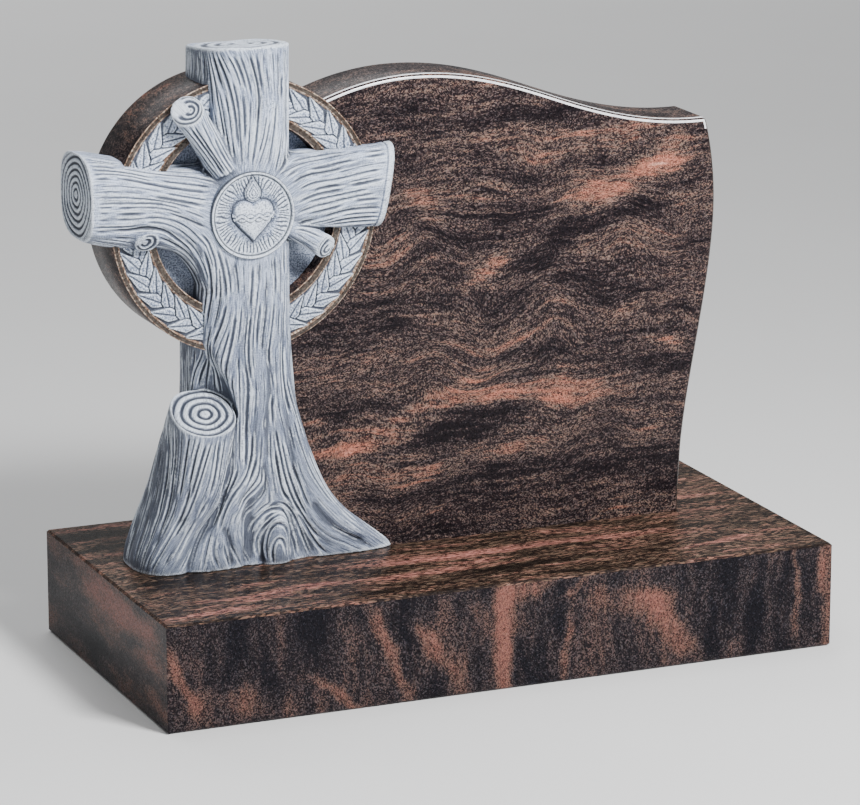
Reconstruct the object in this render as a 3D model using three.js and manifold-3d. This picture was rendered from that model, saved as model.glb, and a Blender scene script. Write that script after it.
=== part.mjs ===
// Celtic cross headstone on its base slab, in millimetres, +Z up, +Y to the back.
// The origin is the centre of the base's underside. A tree-trunk cross stands in front of a ringed disc,
// and the disc runs on to the right as the tablet. Cross, ring and tablet are one carved stone.
import * as THREE from 'three';
import { mergeVertices } from 'three/addons/utils/BufferGeometryUtils.js';
import Module from 'manifold-3d';

const wasm = await Module();
wasm.setup();

// Base slab.
const baseWidth = 986;
const baseDepth = 495;
const baseHeight = 150;
const baseArris = 3;
const beddingGap = 0.3;

// Tablet: the plain polished part of the upright stone.
const slabThickness = 97;
const slabSetback = 232.5;
const tabletReach = 710;
const tabletRise = 662;
const tabletArris = 6;

// Ring behind the cross.
const crossOffset = 290;
const ringHeight = 487;
const ringRadius = 190;
const ringProud = 5;
const ringSegments = 54;
const ringArris = 2;
const outerRim = 7.5;
const leafBand = 41.5;
const innerRim = 10;
const bandSunk = 3.5;
const pocketDepth = 26;

// Leaves carved round the band, in pairs that climb from the foot of the ring to its top.
const leafPairs = 18;
const leafLength = 37;
const leafWidth = 19;
const leafEdge = 1;
const leafRib = 4;
const leafSplay = 0.4;

// Tree-trunk cross.
const treeHeight = 722;
const trunkWidth = 125;
const treeProud = 32;
const topCutFall = 14;
const armHeight = 116;
const armCentre = 515;
const leftArmReach = 227;
const rightArmReach = 205;
const barkGroove = 3;
const armGroove = 2.6;

// Sawn branches, the stump at the foot and the roots.
const stumpHeight = 225;
const stumpWidth = 88;
const stumpProud = 28;
const stumpFaceTilt = 32;
const stubRadius = 20;
const twigRadius = 15;
const knotRadius = 15;
const rootHeight = 215;
const rootProud = 26;
const rootGroove = 2.2;
const growthGroove = 2;
const twigGroove = 1.6;

// Medallion over the crossing.
const medallionRadius = 60;
const medallionHeight = 494;
const medallionProud = 3;
const rayCount = 26;
const rayRipple = 0.9;
const heartWidth = 60;
const heartHeight = 56;
const heartProud = 7;
const thornProud = 2.5;
const flameHeight = 32;
const flameWidth = 22;

// Places that the pieces share.
const seat = baseHeight + beddingGap;
const slabFront = -baseDepth / 2 + slabSetback;
const slabBack = slabFront + slabThickness;
const crossX = -crossOffset;
const ringZ = seat + ringHeight;
const ringFront = slabFront - ringProud;
const treeFront = slabFront - treeProud;
const armZ = seat + armCentre;
const medallionZ = seat + medallionHeight;
const medallionFront = treeFront - medallionProud;
const overrun = 8;

const point = (x, y, z) => new THREE.Vector3(x, y, z);

// A closed geometry as a solid that can be joined and cut, with its faces pointing out.
function solid(geometry) {
  const bare = geometry.clone();
  bare.deleteAttribute('normal');
  bare.deleteAttribute('uv');
  const merged = mergeVertices(bare, 1e-4);
  const positions = merged.attributes.position.array;
  const corners = merged.index.array;
  const triangles = [];
  let volume = 0;
  for (let i = 0; i < corners.length; i += 3) {
    const [a, b, c] = corners.slice(i, i + 3);
    if (a === b || b === c || c === a) continue;
    triangles.push(a, b, c);
    const [p, q, r] = [a, b, c].map((n) => new THREE.Vector3().fromArray(positions, n * 3));
    volume += p.dot(q.cross(r));
  }
  if (volume < 0) triangles.reverse();
  const triVerts = new Uint32Array(triangles);
  const vertProperties = new Float32Array(positions);
  return new wasm.Manifold(new wasm.Mesh({ numProp: 3, vertProperties, triVerts }));
}

function geometryOf(body) {
  const mesh = body.getMesh();
  const geometry = new THREE.BufferGeometry();
  geometry.setAttribute('position', new THREE.BufferAttribute(new Float32Array(mesh.vertProperties), 3));
  geometry.setIndex(new THREE.BufferAttribute(new Uint32Array(mesh.triVerts), 1));
  geometry.computeVertexNormals();
  return geometry;
}

const join = (solids) => solids.reduce((whole, piece) => whole.add(piece));

// The closed skin over rows of points, with a fan at each end.
function skin(rows) {
  const sides = rows[0].length;
  const middle = (row) => row.reduce((sum, p) => sum.add(p), point(0, 0, 0)).divideScalar(sides);
  const points = [...rows.flat(), middle(rows[0]), middle(rows.at(-1))];
  const first = rows.length * sides;
  const index = [];
  for (let row = 0; row < rows.length - 1; row++) {
    for (let k = 0; k < sides; k++) {
      const a = row * sides + k;
      const b = row * sides + ((k + 1) % sides);
      index.push(a, b, b + sides, a, b + sides, a + sides);
    }
  }
  for (let k = 0; k < sides; k++) {
    const next = (k + 1) % sides;
    index.push(next, k, first);
    index.push(first - sides + k, first - sides + next, first + 1);
  }
  return new THREE.BufferGeometry().setFromPoints(points).setIndex(index);
}

// One section of a log. Across and deep are its half axes, deep points to the back, and the powers
// square off its front and back corners. Every third point is cut in as a bark groove.
function section(station, sides, groove, powers, row) {
  const { centre, across, deep } = station;
  return Array.from({ length: sides }, (_, k) => {
    const sway = 0.35 * Math.sin(row * 0.9 + k);
    const angle = (2 * Math.PI * (k + sway)) / sides;
    const [c, s] = [Math.cos(angle), Math.sin(angle)];
    const bend = 2 / (s < 0 ? powers[0] : powers[1]);
    const offset = across.clone().multiplyScalar(Math.sign(c) * Math.abs(c) ** bend);
    offset.addScaledVector(deep, Math.sign(s) * Math.abs(s) ** bend);
    if (k % 3 === 0) offset.setLength(Math.max(offset.length() - groove, offset.length() / 2));
    return offset.add(centre);
  });
}

// Growth rings on a sawn end: the last section again and again, smaller, up and down by the groove.
function growthRings(station, sides, count, powers, outward) {
  const rows = [];
  for (let ring = count; ring > 0; ring--) {
    const shares = [ring / (count + 0.5), (ring - 0.25) / (count + 0.5), (ring - 0.5) / (count + 0.5)];
    shares.forEach((share, step) => {
      const smaller = {
        centre: station.centre.clone().addScaledVector(outward, step === 1 ? -growthGroove : 0),
        across: station.across.clone().multiplyScalar(share),
        deep: station.deep.clone().multiplyScalar(share),
      };
      rows.push(section(smaller, sides, 0, powers, 0));
    });
  }
  return rows;
}

// A log through its stations, [centre, across, deep] each, with growth rings on its far end.
function log(stations, { rows, sides, groove = barkGroove, powers = [2.4, 2.4], rings = 0 }) {
  const [centres, acrosses, deeps] = [0, 1, 2].map(
    (part) => new THREE.CatmullRomCurve3(stations.map((s) => s[part]), false, 'catmullrom', 0.5),
  );
  const levels = Array.from({ length: rows }, (_, row) => {
    const t = row / (rows - 1);
    const station = { centre: centres.getPoint(t), across: acrosses.getPoint(t), deep: deeps.getPoint(t) };
    return section(station, sides, groove, powers, row);
  });
  if (rings > 0) {
    const [centre, across, deep] = stations.at(-1);
    const outward = across.clone().cross(deep).normalize();
    if (outward.dot(centre.clone().sub(stations.at(-2)[0])) < 0) outward.negate();
    levels.push(...growthRings({ centre, across, deep }, sides, rings, powers, outward));
  }
  return solid(skin(levels));
}

// A station of an upright log: its height above the seat and its left, right, front and back limits.
function level(height, left, right, front, back, tilt = 0) {
  const centre = point(crossX + (left + right) / 2, (front + back) / 2, seat + height);
  return [centre, point((right - left) / 2, 0, 0), point(0, (back - front) / 2, tilt)];
}

// A plate with an outline in X and Z, its back at a given Y and a chamfered arris on both faces.
function plate(shape, thickness, back, arris, curveSegments) {
  const geometry = new THREE.ExtrudeGeometry(shape, {
    depth: thickness - 2 * arris,
    bevelThickness: arris,
    bevelSize: arris,
    bevelOffset: -arris,
    bevelSegments: 1,
    curveSegments,
  });
  return solid(geometry.rotateX(Math.PI / 2).translate(0, back - arris, 0));
}

// A turned solid whose axis runs front to back through a point of the stone.
function turned(profile, x, z, segments) {
  const points = profile.map(([radius, y]) => new THREE.Vector2(radius, y));
  return solid(new THREE.LatheGeometry(points, segments).translate(x, 0, z));
}

function block(width, depth, height, x, y, z) {
  return solid(new THREE.BoxGeometry(width, depth, height).translate(x, y, z));
}

function makeBase() {
  const outline = new THREE.Shape();
  const [halfWidth, halfDepth] = [baseWidth / 2, baseDepth / 2];
  outline.moveTo(-halfWidth, -halfDepth);
  outline.lineTo(halfWidth, -halfDepth);
  outline.lineTo(halfWidth, halfDepth);
  outline.lineTo(-halfWidth, halfDepth);
  const geometry = new THREE.ExtrudeGeometry(outline, {
    depth: baseHeight - 2 * baseArris,
    bevelThickness: baseArris,
    bevelSize: baseArris,
    bevelOffset: -baseArris,
    bevelSegments: 1,
  });
  return solid(geometry.translate(0, 0, baseArris));
}

// The tablet's outline, as shares of its reach from the cross and of its rise from the seat: a crest
// beside the ring, a hollow towards the right corner, and a side that swells out and draws in again.
function makeTablet() {
  const at = (reach, rise) => [crossX + reach * tabletReach, seat + rise * tabletRise];
  const shape = new THREE.Shape();
  shape.moveTo(crossX, seat - overrun);
  shape.lineTo(crossX + 0.927 * tabletReach, seat - overrun);
  shape.bezierCurveTo(...at(0.928, 0.04), ...at(0.93, 0.08), ...at(0.932, 0.113));
  shape.bezierCurveTo(...at(0.937, 0.27), ...at(1, 0.5), ...at(1, 0.677));
  shape.bezierCurveTo(...at(1, 0.748), ...at(0.989, 0.816), ...at(0.977, 0.86));
  shape.bezierCurveTo(...at(0.859, 0.855), ...at(0.755, 0.888), ...at(0.659, 0.926));
  shape.bezierCurveTo(...at(0.563, 0.964), ...at(0.472, 1), ...at(0.352, 1));
  shape.bezierCurveTo(...at(0.261, 1), ...at(0.176, 0.974), ...at(0.1, 0.93));
  shape.lineTo(...at(0, 0.85));
  return plate(shape, slabThickness, slabBack, tabletArris, 9);
}

// The disc behind the cross: an outer rim, the sunk band for the leaves and an inner rim.
function makeRing() {
  const bandOuter = ringRadius - outerRim;
  const bandInner = bandOuter - leafBand;
  const pocketRadius = bandInner - innerRim;
  const bandFront = ringFront + bandSunk;
  const disc = turned(
    [
      [0, slabBack],
      [ringRadius - ringArris, slabBack],
      [ringRadius, slabBack - ringArris],
      [ringRadius, ringFront + ringArris],
      [ringRadius - ringArris, ringFront],
      [bandOuter, ringFront],
      [bandOuter - ringArris, bandFront],
      [bandInner + ringArris, bandFront],
      [bandInner, ringFront],
      [0, ringFront],
    ],
    crossX,
    ringZ,
    ringSegments,
  );
  const pocket = turned(
    [
      [0, ringFront - overrun],
      [pocketRadius, ringFront - overrun],
      [pocketRadius, ringFront + pocketDepth],
      [0, ringFront + pocketDepth],
    ],
    crossX,
    ringZ,
    ringSegments,
  );
  return { disc, pocket, leaves: makeLeaves(bandInner, bandOuter, bandFront) };
}

// One pointed leaf, from its base at the origin to its tip along +Z, with a rib down its middle.
function leafBlade(front) {
  const outline = [
    [0, 0],
    [leafWidth / 2, leafLength * 0.4],
    [0, leafLength],
    [-leafWidth / 2, leafLength * 0.4],
  ];
  const back = outline.map(([x, z]) => point(x, front + bandSunk, z));
  const edge = outline.map(([x, z]) => point(x, front - leafEdge, z));
  const rib = [point(0, front - leafRib, leafLength * 0.18), point(0, front - leafRib, leafLength * 0.7)];
  const index = [0, 1, 2, 0, 2, 3];
  for (let k = 0; k < 4; k++) {
    const next = (k + 1) % 4;
    index.push(next, k, 4 + k, next, 4 + k, 4 + next);
  }
  index.push(5, 4, 8, 5, 8, 9, 6, 5, 9, 6, 9, 7, 7, 9, 8, 7, 8, 4);
  return new THREE.BufferGeometry().setFromPoints([...back, ...edge, ...rib]).setIndex(index);
}

function makeLeaves(bandInner, bandOuter, bandFront) {
  const middle = (bandInner + bandOuter) / 2;
  const leaves = [];
  for (const side of [-1, 1]) {
    for (let pair = 0; pair < leafPairs; pair++) {
      const climb = (Math.PI * (pair + 0.25)) / leafPairs;
      const heading = side * (climb - Math.PI / 2);
      for (const splay of [-1, 1]) {
        const leaf = leafBlade(bandFront).translate(splay * leafWidth * 0.22, 0, 0);
        leaf.rotateY(splay * leafSplay).translate(side * middle, 0, 0);
        leaf.rotateY(-heading).translate(crossX, 0, ringZ);
        leaves.push(solid(leaf));
      }
    }
  }
  return leaves;
}

// The trunk, [rise, left, right, drawnIn]: rise is a share of the tree's height, left and right are shares
// of the trunk's width to each side of the cross's axis, and drawnIn sets its front back at the foot.
function makeTrunk() {
  const swell = [
    [-0.02, 0.58, 0.9, 0.5],
    [0.06, 0.58, 0.86, 0.3],
    [0.12, 0.59, 0.82, 0.12],
    [0.193, 0.59, 0.75, 0],
    [0.273, 0.59, 0.656, 0],
    [0.352, 0.576, 0.592, 0],
    [0.45, 0.56, 0.555, 0],
    [0.6, 0.52, 0.55, 0],
    [0.8, 0.465, 0.552, 0],
    [1, 0.44, 0.56, 0],
  ];
  const stations = swell.map(([rise, left, right, drawnIn]) => {
    const fall = rise === 1 ? topCutFall / 2 : 0;
    const height = rise * treeHeight - fall;
    const front = treeFront + drawnIn * treeProud;
    return level(height, -left * trunkWidth, right * trunkWidth, front, slabBack + overrun, -fall);
  });
  return log(stations, { rows: 16, sides: 54, powers: [3, 3.5] });
}

// An arm, [reach, top, bottom]: shares of its reach from the cross's axis and of the arm's height above
// and below the arm's centre.
function makeArm(side, reach, back, profile, lean, rings) {
  const stations = profile.map(([share, top, bottom], n) => {
    const tip = n === profile.length - 1 ? lean : 0;
    const z = armZ + ((top - bottom) / 2) * armHeight;
    const centre = point(crossX + side * share * reach, (treeFront + back) / 2, z);
    const half = ((top + bottom) / 2) * armHeight;
    return [centre, point(side * tip, 0, half), point(0, (back - treeFront) / 2, 0)];
  });
  return log(stations, { rows: 9, sides: 27, groove: armGroove, powers: [3, 3], rings });
}

function makeArms() {
  const leftProfile = [
    [0.1, 0.42, 1.3],
    [0.24, 0.4, 1.2],
    [0.33, 0.4, 0.86],
    [0.42, 0.4, 0.66],
    [0.55, 0.42, 0.56],
    [0.75, 0.5, 0.53],
    [0.9, 0.57, 0.47],
    [1, 0.6, 0.41],
  ];
  const rightProfile = [
    [0.1, 0.46, 0.56],
    [0.3, 0.48, 0.44],
    [0.5, 0.48, 0.45],
    [0.75, 0.48, 0.49],
    [1, 0.5, 0.5],
  ];
  const rightBack = slabFront + slabThickness / 3;
  return [
    makeArm(-1, leftArmReach, slabBack, leftProfile, 0, 3),
    makeArm(1, rightArmReach, rightBack, rightProfile, 10, 0),
  ];
}

// A short round branch from a place inside the tree to its sawn end.
function makeBranch(from, to, radius, turn) {
  const along = to.clone().sub(from).normalize();
  const face = along.clone().lerp(point(0, -1, 0), turn).normalize();
  const across = point(0, 0, 1).cross(along).normalize();
  const deep = along.clone().cross(across).normalize();
  const faceAcross = across.clone().addScaledVector(face, -across.dot(face)).normalize();
  const faceDeep = face.clone().cross(faceAcross).normalize();
  const stations = [
    [from, across.clone().multiplyScalar(radius * 1.25), deep.clone().multiplyScalar(radius * 1.1)],
    [from.clone().lerp(to, 0.5), across.clone().multiplyScalar(radius), deep.clone().multiplyScalar(radius)],
    [to, faceAcross.multiplyScalar(radius * 1.12), faceDeep.multiplyScalar(radius * 1.12)],
  ];
  return log(stations, { rows: 5, sides: 15, groove: twigGroove, powers: [2, 2], rings: 1 });
}

function makeBranches() {
  const stubTo = point(crossX - 0.72 * trunkWidth, treeFront + 6, armZ + 1.1 * armHeight);
  const stubFrom = point(crossX - 0.26 * trunkWidth, treeFront + 22, armZ + 0.36 * armHeight);
  const twigTo = point(crossX + 0.88 * trunkWidth, treeFront + 6, armZ - 0.66 * armHeight);
  const twigFrom = point(crossX + 0.42 * trunkWidth, treeFront + 20, armZ - 0.34 * armHeight);
  const knotFrom = point(crossX - 0.65 * leftArmReach, treeFront + 30, armZ - 0.28 * armHeight);
  const knotTo = point(crossX - 0.65 * leftArmReach, treeFront + 6, armZ - 0.42 * armHeight);
  return [
    makeBranch(stubFrom, stubTo, stubRadius, 0.45),
    makeBranch(twigFrom, twigTo, twigRadius, 0.35),
    makeBranch(knotFrom, knotTo, knotRadius, 0),
  ];
}

// The stump leans on the trunk's left, its sawn face tilted to the front and ringed. Its stations are
// [rise, left, right, drawnIn, short]: short brings its back forward and tips the section. The niche is
// what the saw took from the trunk above the face.
function makeStump() {
  const half = stumpWidth / 2;
  const tilt = THREE.MathUtils.degToRad(stumpFaceTilt);
  const front = treeFront - stumpProud;
  const faceDepth = half * Math.cos(tilt);
  const lean = [
    [-0.04, -1.27, -0.56, 0.5, 0],
    [0.1, -1.24, -0.58, 0.15, 0],
    [0.28, -1.13, -0.5, -0.1, 0.08],
    [0.46, -1.03, -0.3, -0.4, 0.2],
    [0.7, -0.95, -0.24, -0.75, 0.45],
  ];
  const stations = lean.map(([rise, left, right, drawnIn, short]) => {
    const nose = treeFront + drawnIn * stumpProud;
    const rear = slabBack + overrun - short * slabThickness;
    return level(rise * stumpHeight, left * trunkWidth, right * trunkWidth, nose, rear, short * half);
  });
  const face = point(crossX - 0.56 * trunkWidth, front + faceDepth, seat + stumpHeight);
  const [across, deep] = [point(half, 0, 0), point(0, faceDepth, half * Math.sin(tilt))];
  stations.push([face, across, deep]);
  const wider = (share) => [across.clone().multiplyScalar(share), deep.clone().multiplyScalar(share)];
  const above = (left, forward, up) => face.clone().add(point(-left * half, -forward * half, up * half));
  const niche = log(
    [
      [above(0, 0, -0.3), ...wider(1.06)],
      [above(0, 0, 0.1), ...wider(1.06)],
      [above(0.3, 0, 1.1), ...wider(0.95)],
      [above(0.8, 0.1, 2.2), ...wider(0.7)],
      [above(1.1, 0.2, 3), ...wider(0.35)],
    ],
    { rows: 7, sides: 24, groove: 0 },
  );
  return { stump: log(stations, { rows: 10, sides: 30, powers: [2.2, 2.6], rings: 3 }), niche };
}

// Roots, [rise, left, right, front] each, drawn out of the trunk down to the seat.
function makeRoots() {
  const root = (limits, front) => {
    const stations = limits.map(([rise, left, right, share]) => {
      const nose = slabFront - share * front;
      const height = rise * rootHeight;
      return level(height, left * trunkWidth, right * trunkWidth, nose, slabFront + 30);
    });
    return log(stations, { rows: 7, sides: 18, groove: rootGroove, powers: [2.2, 2.2] });
  };
  const leftRoot = [
    [-0.04, -0.84, 0.04, 0.8],
    [0.084, -0.8, 0.03, 1.1],
    [0.28, -0.56, 0.02, 1.3],
    [0.56, -0.34, 0.06, 1.35],
    [0.884, -0.22, 0.1, 1.1],
  ];
  const toe = [
    [-0.04, 0.08, 0.5, 0.85],
    [0.084, 0.06, 0.51, 1.35],
    [0.205, 0.09, 0.48, 1.5],
    [0.307, 0.16, 0.42, 1.45],
    [0.39, 0.24, 0.36, 0.9],
  ];
  const rightRoot = [
    [-0.04, 0.5, 1.78, 0.5],
    [0.056, 0.48, 1.66, 0.7],
    [0.167, 0.46, 1.42, 0.9],
    [0.298, 0.44, 1.14, 1.05],
    [0.465, 0.42, 0.92, 1.15],
    [0.698, 0.38, 0.74, 1.2],
    [1, 0.3, 0.58, 1.1],
  ];
  return [root(leftRoot, rootProud), root(toe, rootProud), root(rightRoot, rootProud)];
}

// The medallion's disc: a raised border, then rays that alternate high and low round the sunk field.
function makeMedallion() {
  const sides = 2 * rayCount;
  const circle = (radius, y, ripple = 0) =>
    Array.from({ length: sides }, (_, k) => {
      const angle = (2 * Math.PI * k) / sides;
      const rise = k % 2 === 0 ? ripple : 0;
      return point(crossX + radius * Math.cos(angle), y + rise, medallionZ + radius * Math.sin(angle));
    });
  const front = medallionFront;
  const radius = medallionRadius;
  const boss = skin([
    circle(radius * 1.4, treeFront + 24),
    circle(radius * 1.12, treeFront + 2),
    circle(radius, treeFront + 1),
    circle(radius, front),
    circle(radius * 0.94, front),
    circle(radius * 0.91, front + 2),
    circle(radius * 0.87, front + 0.5, rayRipple),
    circle(radius * 0.6, front + 1, rayRipple),
    circle(radius * 0.56, front + 2),
  ]);
  return solid(boss);
}

function heartShape(width, height, x, z) {
  const at = (across, up) => [x + across * width, z + up * height];
  const shape = new THREE.Shape();
  shape.moveTo(...at(0, -0.5));
  shape.bezierCurveTo(...at(0.12, -0.3), ...at(0.5, -0.06), ...at(0.5, 0.2));
  shape.bezierCurveTo(...at(0.5, 0.42), ...at(0.36, 0.5), ...at(0.24, 0.5));
  shape.bezierCurveTo(...at(0.12, 0.5), ...at(0.04, 0.45), ...at(0, 0.4));
  shape.bezierCurveTo(...at(-0.04, 0.45), ...at(-0.12, 0.5), ...at(-0.24, 0.5));
  shape.bezierCurveTo(...at(-0.36, 0.5), ...at(-0.5, 0.42), ...at(-0.5, 0.2));
  shape.bezierCurveTo(...at(-0.5, -0.06), ...at(-0.12, -0.3), ...at(0, -0.5));
  return shape;
}

function flameShape(width, height, x, z) {
  const at = (across, up) => [x + across * width, z + up * height];
  const shape = new THREE.Shape();
  shape.moveTo(...at(0, 0));
  shape.bezierCurveTo(...at(0.4, 0), ...at(0.6, 0.3), ...at(0.42, 0.5));
  shape.bezierCurveTo(...at(0.28, 0.68), ...at(0.12, 0.8), ...at(0, 1));
  shape.bezierCurveTo(...at(-0.12, 0.8), ...at(-0.28, 0.68), ...at(-0.42, 0.5));
  shape.bezierCurveTo(...at(-0.6, 0.3), ...at(-0.4, 0), ...at(0, 0));
  return shape;
}

// The heart with its twisted thorn band, and the flame above it.
function makeEmblem() {
  const heartZ = medallionZ - 0.13 * medallionRadius;
  const back = medallionFront + 4;
  const thick = heartProud + 4;
  const flameZ = heartZ + 0.47 * heartHeight;
  const heart = plate(heartShape(heartWidth, heartHeight, crossX, heartZ), thick, back, 3, 4);
  const flame = plate(flameShape(flameWidth, flameHeight, crossX, flameZ), thick - 1, back, 2.5, 3);
  const strands = [-1, 1].map((side) => {
    const twist = Array.from({ length: 13 }, (_, n) => {
      const share = n / 12 - 0.5;
      const wave = side * Math.sin(share * 5 * Math.PI);
      const y = medallionFront - heartProud + 1.2 - side * 0.6 * Math.cos(share * 5 * Math.PI);
      return [point(crossX + share * heartWidth, y, heartZ + 0.1 * heartHeight + 3 * wave)];
    });
    const stations = twist.map(([centre]) => [centre, point(0, 0, 2), point(0, thornProud, 0)]);
    return log(stations, { rows: 16, sides: 6, groove: 0, powers: [2, 2] });
  });
  return [heart, flame, ...strands];
}

function makeHeadstone() {
  const far = 4 * treeHeight;
  const behind = block(far, far, far, 0, slabBack + far / 2, seat);
  const below = block(far, far, far, 0, 0, seat - far / 2);
  const { stump, niche } = makeStump();
  const logs = join([makeTrunk(), ...makeArms(), ...makeBranches(), ...makeRoots()]);
  const tree = logs.subtract(niche).add(stump);
  const ring = makeRing();
  const slab = join([makeTablet(), ring.disc]).subtract(ring.pocket);
  const whole = join([slab, ...ring.leaves, tree, makeMedallion(), ...makeEmblem()]);
  return whole.subtract(behind).subtract(below);
}

const granite = new THREE.MeshStandardMaterial({ color: 0x4a3733, roughness: 0.25, metalness: 0 });
const carvedStone = new THREE.MeshStandardMaterial({ color: 0xa9afb8, roughness: 0.6, metalness: 0 });

const base = new THREE.Mesh(geometryOf(makeBase()), granite);
base.name = 'base';

const headstone = new THREE.Mesh(geometryOf(makeHeadstone()), carvedStone);
headstone.name = 'headstone';

const memorial = new THREE.Group();
memorial.add(base, headstone);

export default memorial;
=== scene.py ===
# Celtic cross headstone: a carved tree-trunk cross on a leaf-banded ring that runs on into a polished
# tablet, standing on a slab base. The carving is worked out in millimetres and made in metres.
import math
import random

import bpy
import numpy as np
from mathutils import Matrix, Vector
from mathutils.bvhtree import BVHTree
from mathutils.kdtree import KDTree


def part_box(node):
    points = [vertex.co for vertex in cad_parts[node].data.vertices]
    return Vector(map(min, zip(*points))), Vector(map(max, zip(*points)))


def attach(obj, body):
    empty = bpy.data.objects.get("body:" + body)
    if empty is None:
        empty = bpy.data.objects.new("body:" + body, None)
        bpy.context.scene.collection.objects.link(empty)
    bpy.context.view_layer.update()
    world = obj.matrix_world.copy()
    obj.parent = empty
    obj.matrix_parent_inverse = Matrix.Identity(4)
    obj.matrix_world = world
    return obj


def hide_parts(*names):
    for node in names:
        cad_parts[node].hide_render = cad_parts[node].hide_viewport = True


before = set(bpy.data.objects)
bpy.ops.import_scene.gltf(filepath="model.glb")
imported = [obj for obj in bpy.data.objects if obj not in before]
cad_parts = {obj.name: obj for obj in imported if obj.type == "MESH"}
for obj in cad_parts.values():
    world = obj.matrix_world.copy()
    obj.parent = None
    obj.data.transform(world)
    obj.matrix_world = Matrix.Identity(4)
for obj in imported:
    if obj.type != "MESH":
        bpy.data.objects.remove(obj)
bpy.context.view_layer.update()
bpy.ops.object.select_all(action="DESELECT")

MM = 0.001
stone_low, stone_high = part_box("headstone")

# Sizes of the stone, in millimetres, as they are in the part.
seat = stone_low[2] / MM
tree_top = stone_high[2] / MM
slab_back = stone_high[1] / MM
slab_thickness = 97.0
slab_front = slab_back - slab_thickness
cross_x = -290.0
tablet_reach, tablet_rise, tablet_arris = 710.0, 662.0, 6.0
ring_z = seat + 487
ring_front = slab_front - 5
ring_radius, outer_rim, leaf_band, inner_rim = 190.0, 7.5, 41.5, 10.0
ring_arris, band_sunk, pocket_depth = 2.0, 3.5, 26.0
pocket_radius = ring_radius - outer_rim - leaf_band - inner_rim
tree_height, trunk_width = tree_top - seat, 125.0
tree_proud = 32.0
tree_front = slab_front - tree_proud
tree_back = slab_back - 0.5

# How far the logs run past the back plane before they are cut off flat there.
past_back = 8.0
arm_z, arm_height = seat + 515, 116.0
left_reach, right_reach = 227.0, 205.0
medallion_radius, medallion_z = 60.0, seat + 494
medallion_front = tree_front - 3
heart_width, heart_height = 60.0, 56.0
stump_height, stump_width, stump_proud, stump_tilt = 225.0, 88.0, 28.0, 32.0
stub_radius, twig_radius, knot_radius = 20.0, 15.0, 15.0
root_height, root_proud = 215.0, 26.0
most_triangles = 190000

# The trunk's sawn top falls to the back: half its fall, and its middle and half depth along y.
top_fall, top_middle, top_half = 7.0, 17.5, 72.5

# Where a piece is cut off behind and below, past everything that it has.
far_left, far_right, far_front, far_back, far_up = -900, 300, -400, 400, 1200


def smooth(values, low, high):
    t = np.clip((values - low) / (high - low), 0, 1)
    return t * t * (3 - 2 * t)


def along_curve(points, t):
    """A point of the smooth curve through the given points, with t from 0 to 1."""
    last = len(points) - 1
    place = t * last
    i = min(int(place), last - 1)
    w = place - i
    before = points[i - 1] if i > 0 else 2 * points[0] - points[1]
    after = points[i + 2] if i + 2 <= last else 2 * points[last] - points[last - 1]
    a, b = points[i], points[i + 1]
    da, db = (b - before) / 2, (after - a) / 2
    return a + da * w + (-3 * a + 3 * b - 2 * da - db) * w**2 + (2 * a - 2 * b + da + db) * w**3


def ring_faces(starts, sides):
    """Faces between rings of vertices, each ring given by the number of its first vertex."""
    faces = []
    for a, b in zip(starts, starts[1:]):
        for k in range(sides):
            n = (k + 1) % sides
            faces.append((a + k, a + n, b + n, b + k))
    return faces


def log_skin(stations, rows, sides, powers=(2.4, 2.4)):
    """A closed log through stations of centre, half axis across and half axis deep."""
    centres, acrosses, deeps = [[np.array(s[n], float) for s in stations] for n in range(3)]
    angle = 2 * np.pi * np.arange(sides) / sides
    c, s = np.cos(angle), np.sin(angle)
    bend = np.where(s < 0, 2 / powers[0], 2 / powers[1])
    wide = (np.sign(c) * np.abs(c) ** bend)[:, None]
    tall = (np.sign(s) * np.abs(s) ** bend)[:, None]
    points = []
    for row in range(rows):
        t = row / (rows - 1)
        centre = along_curve(centres, t)
        points.append(centre + wide * along_curve(acrosses, t) + tall * along_curve(deeps, t))
    points = np.concatenate(points)
    faces = ring_faces([row * sides for row in range(rows)], sides)
    faces.append(tuple(range(sides))[::-1])
    faces.append(tuple(range((rows - 1) * sides, rows * sides)))
    return points, faces


def mesh_object(name, points, faces):
    mesh = bpy.data.meshes.new(name)
    mesh.from_pydata((np.asarray(points) * MM).tolist(), [], faces)
    piece = bpy.data.objects.new(name, mesh)
    bpy.context.collection.objects.link(piece)
    bpy.context.view_layer.objects.active = piece
    bpy.ops.object.mode_set(mode="EDIT")
    bpy.ops.mesh.select_all(action="SELECT")
    bpy.ops.mesh.normals_make_consistent(inside=False)
    bpy.ops.object.mode_set(mode="OBJECT")
    return piece


def use(piece):
    bpy.ops.object.select_all(action="DESELECT")
    piece.select_set(True)
    bpy.context.view_layer.objects.active = piece


def modify(piece, kind, **settings):
    """Give the active piece a modifier and apply it."""
    modifier = piece.modifiers.new(kind.lower(), kind)
    for name, value in settings.items():
        setattr(modifier, name, value)
    bpy.ops.object.modifier_apply(modifier=modifier.name)


def combine(piece, others, operation):
    """Join solids to a piece, or cut them from it, and clear them away."""
    use(piece)
    for other in others:
        modify(piece, "BOOLEAN", operation=operation, solver="MANIFOLD", object=other)
        bpy.data.objects.remove(other)


def store(piece, name, values):
    """Keep a number for each vertex under a name that the materials read."""
    layer = piece.data.attributes.new(name, "FLOAT", "POINT")
    layer.data.foreach_set("value", values)


def block(name, low, high):
    """A plain block between two corners in millimetres, for cutting with."""
    middle = [(a + b) / 2 * MM for a, b in zip(low, high)]
    size = [(b - a) * MM for a, b in zip(low, high)]
    bpy.ops.mesh.primitive_cube_add(size=1, location=middle, scale=size)
    piece = bpy.context.object
    piece.name = name
    bpy.ops.object.transform_apply(location=True, rotation=True, scale=True)
    return piece


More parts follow.
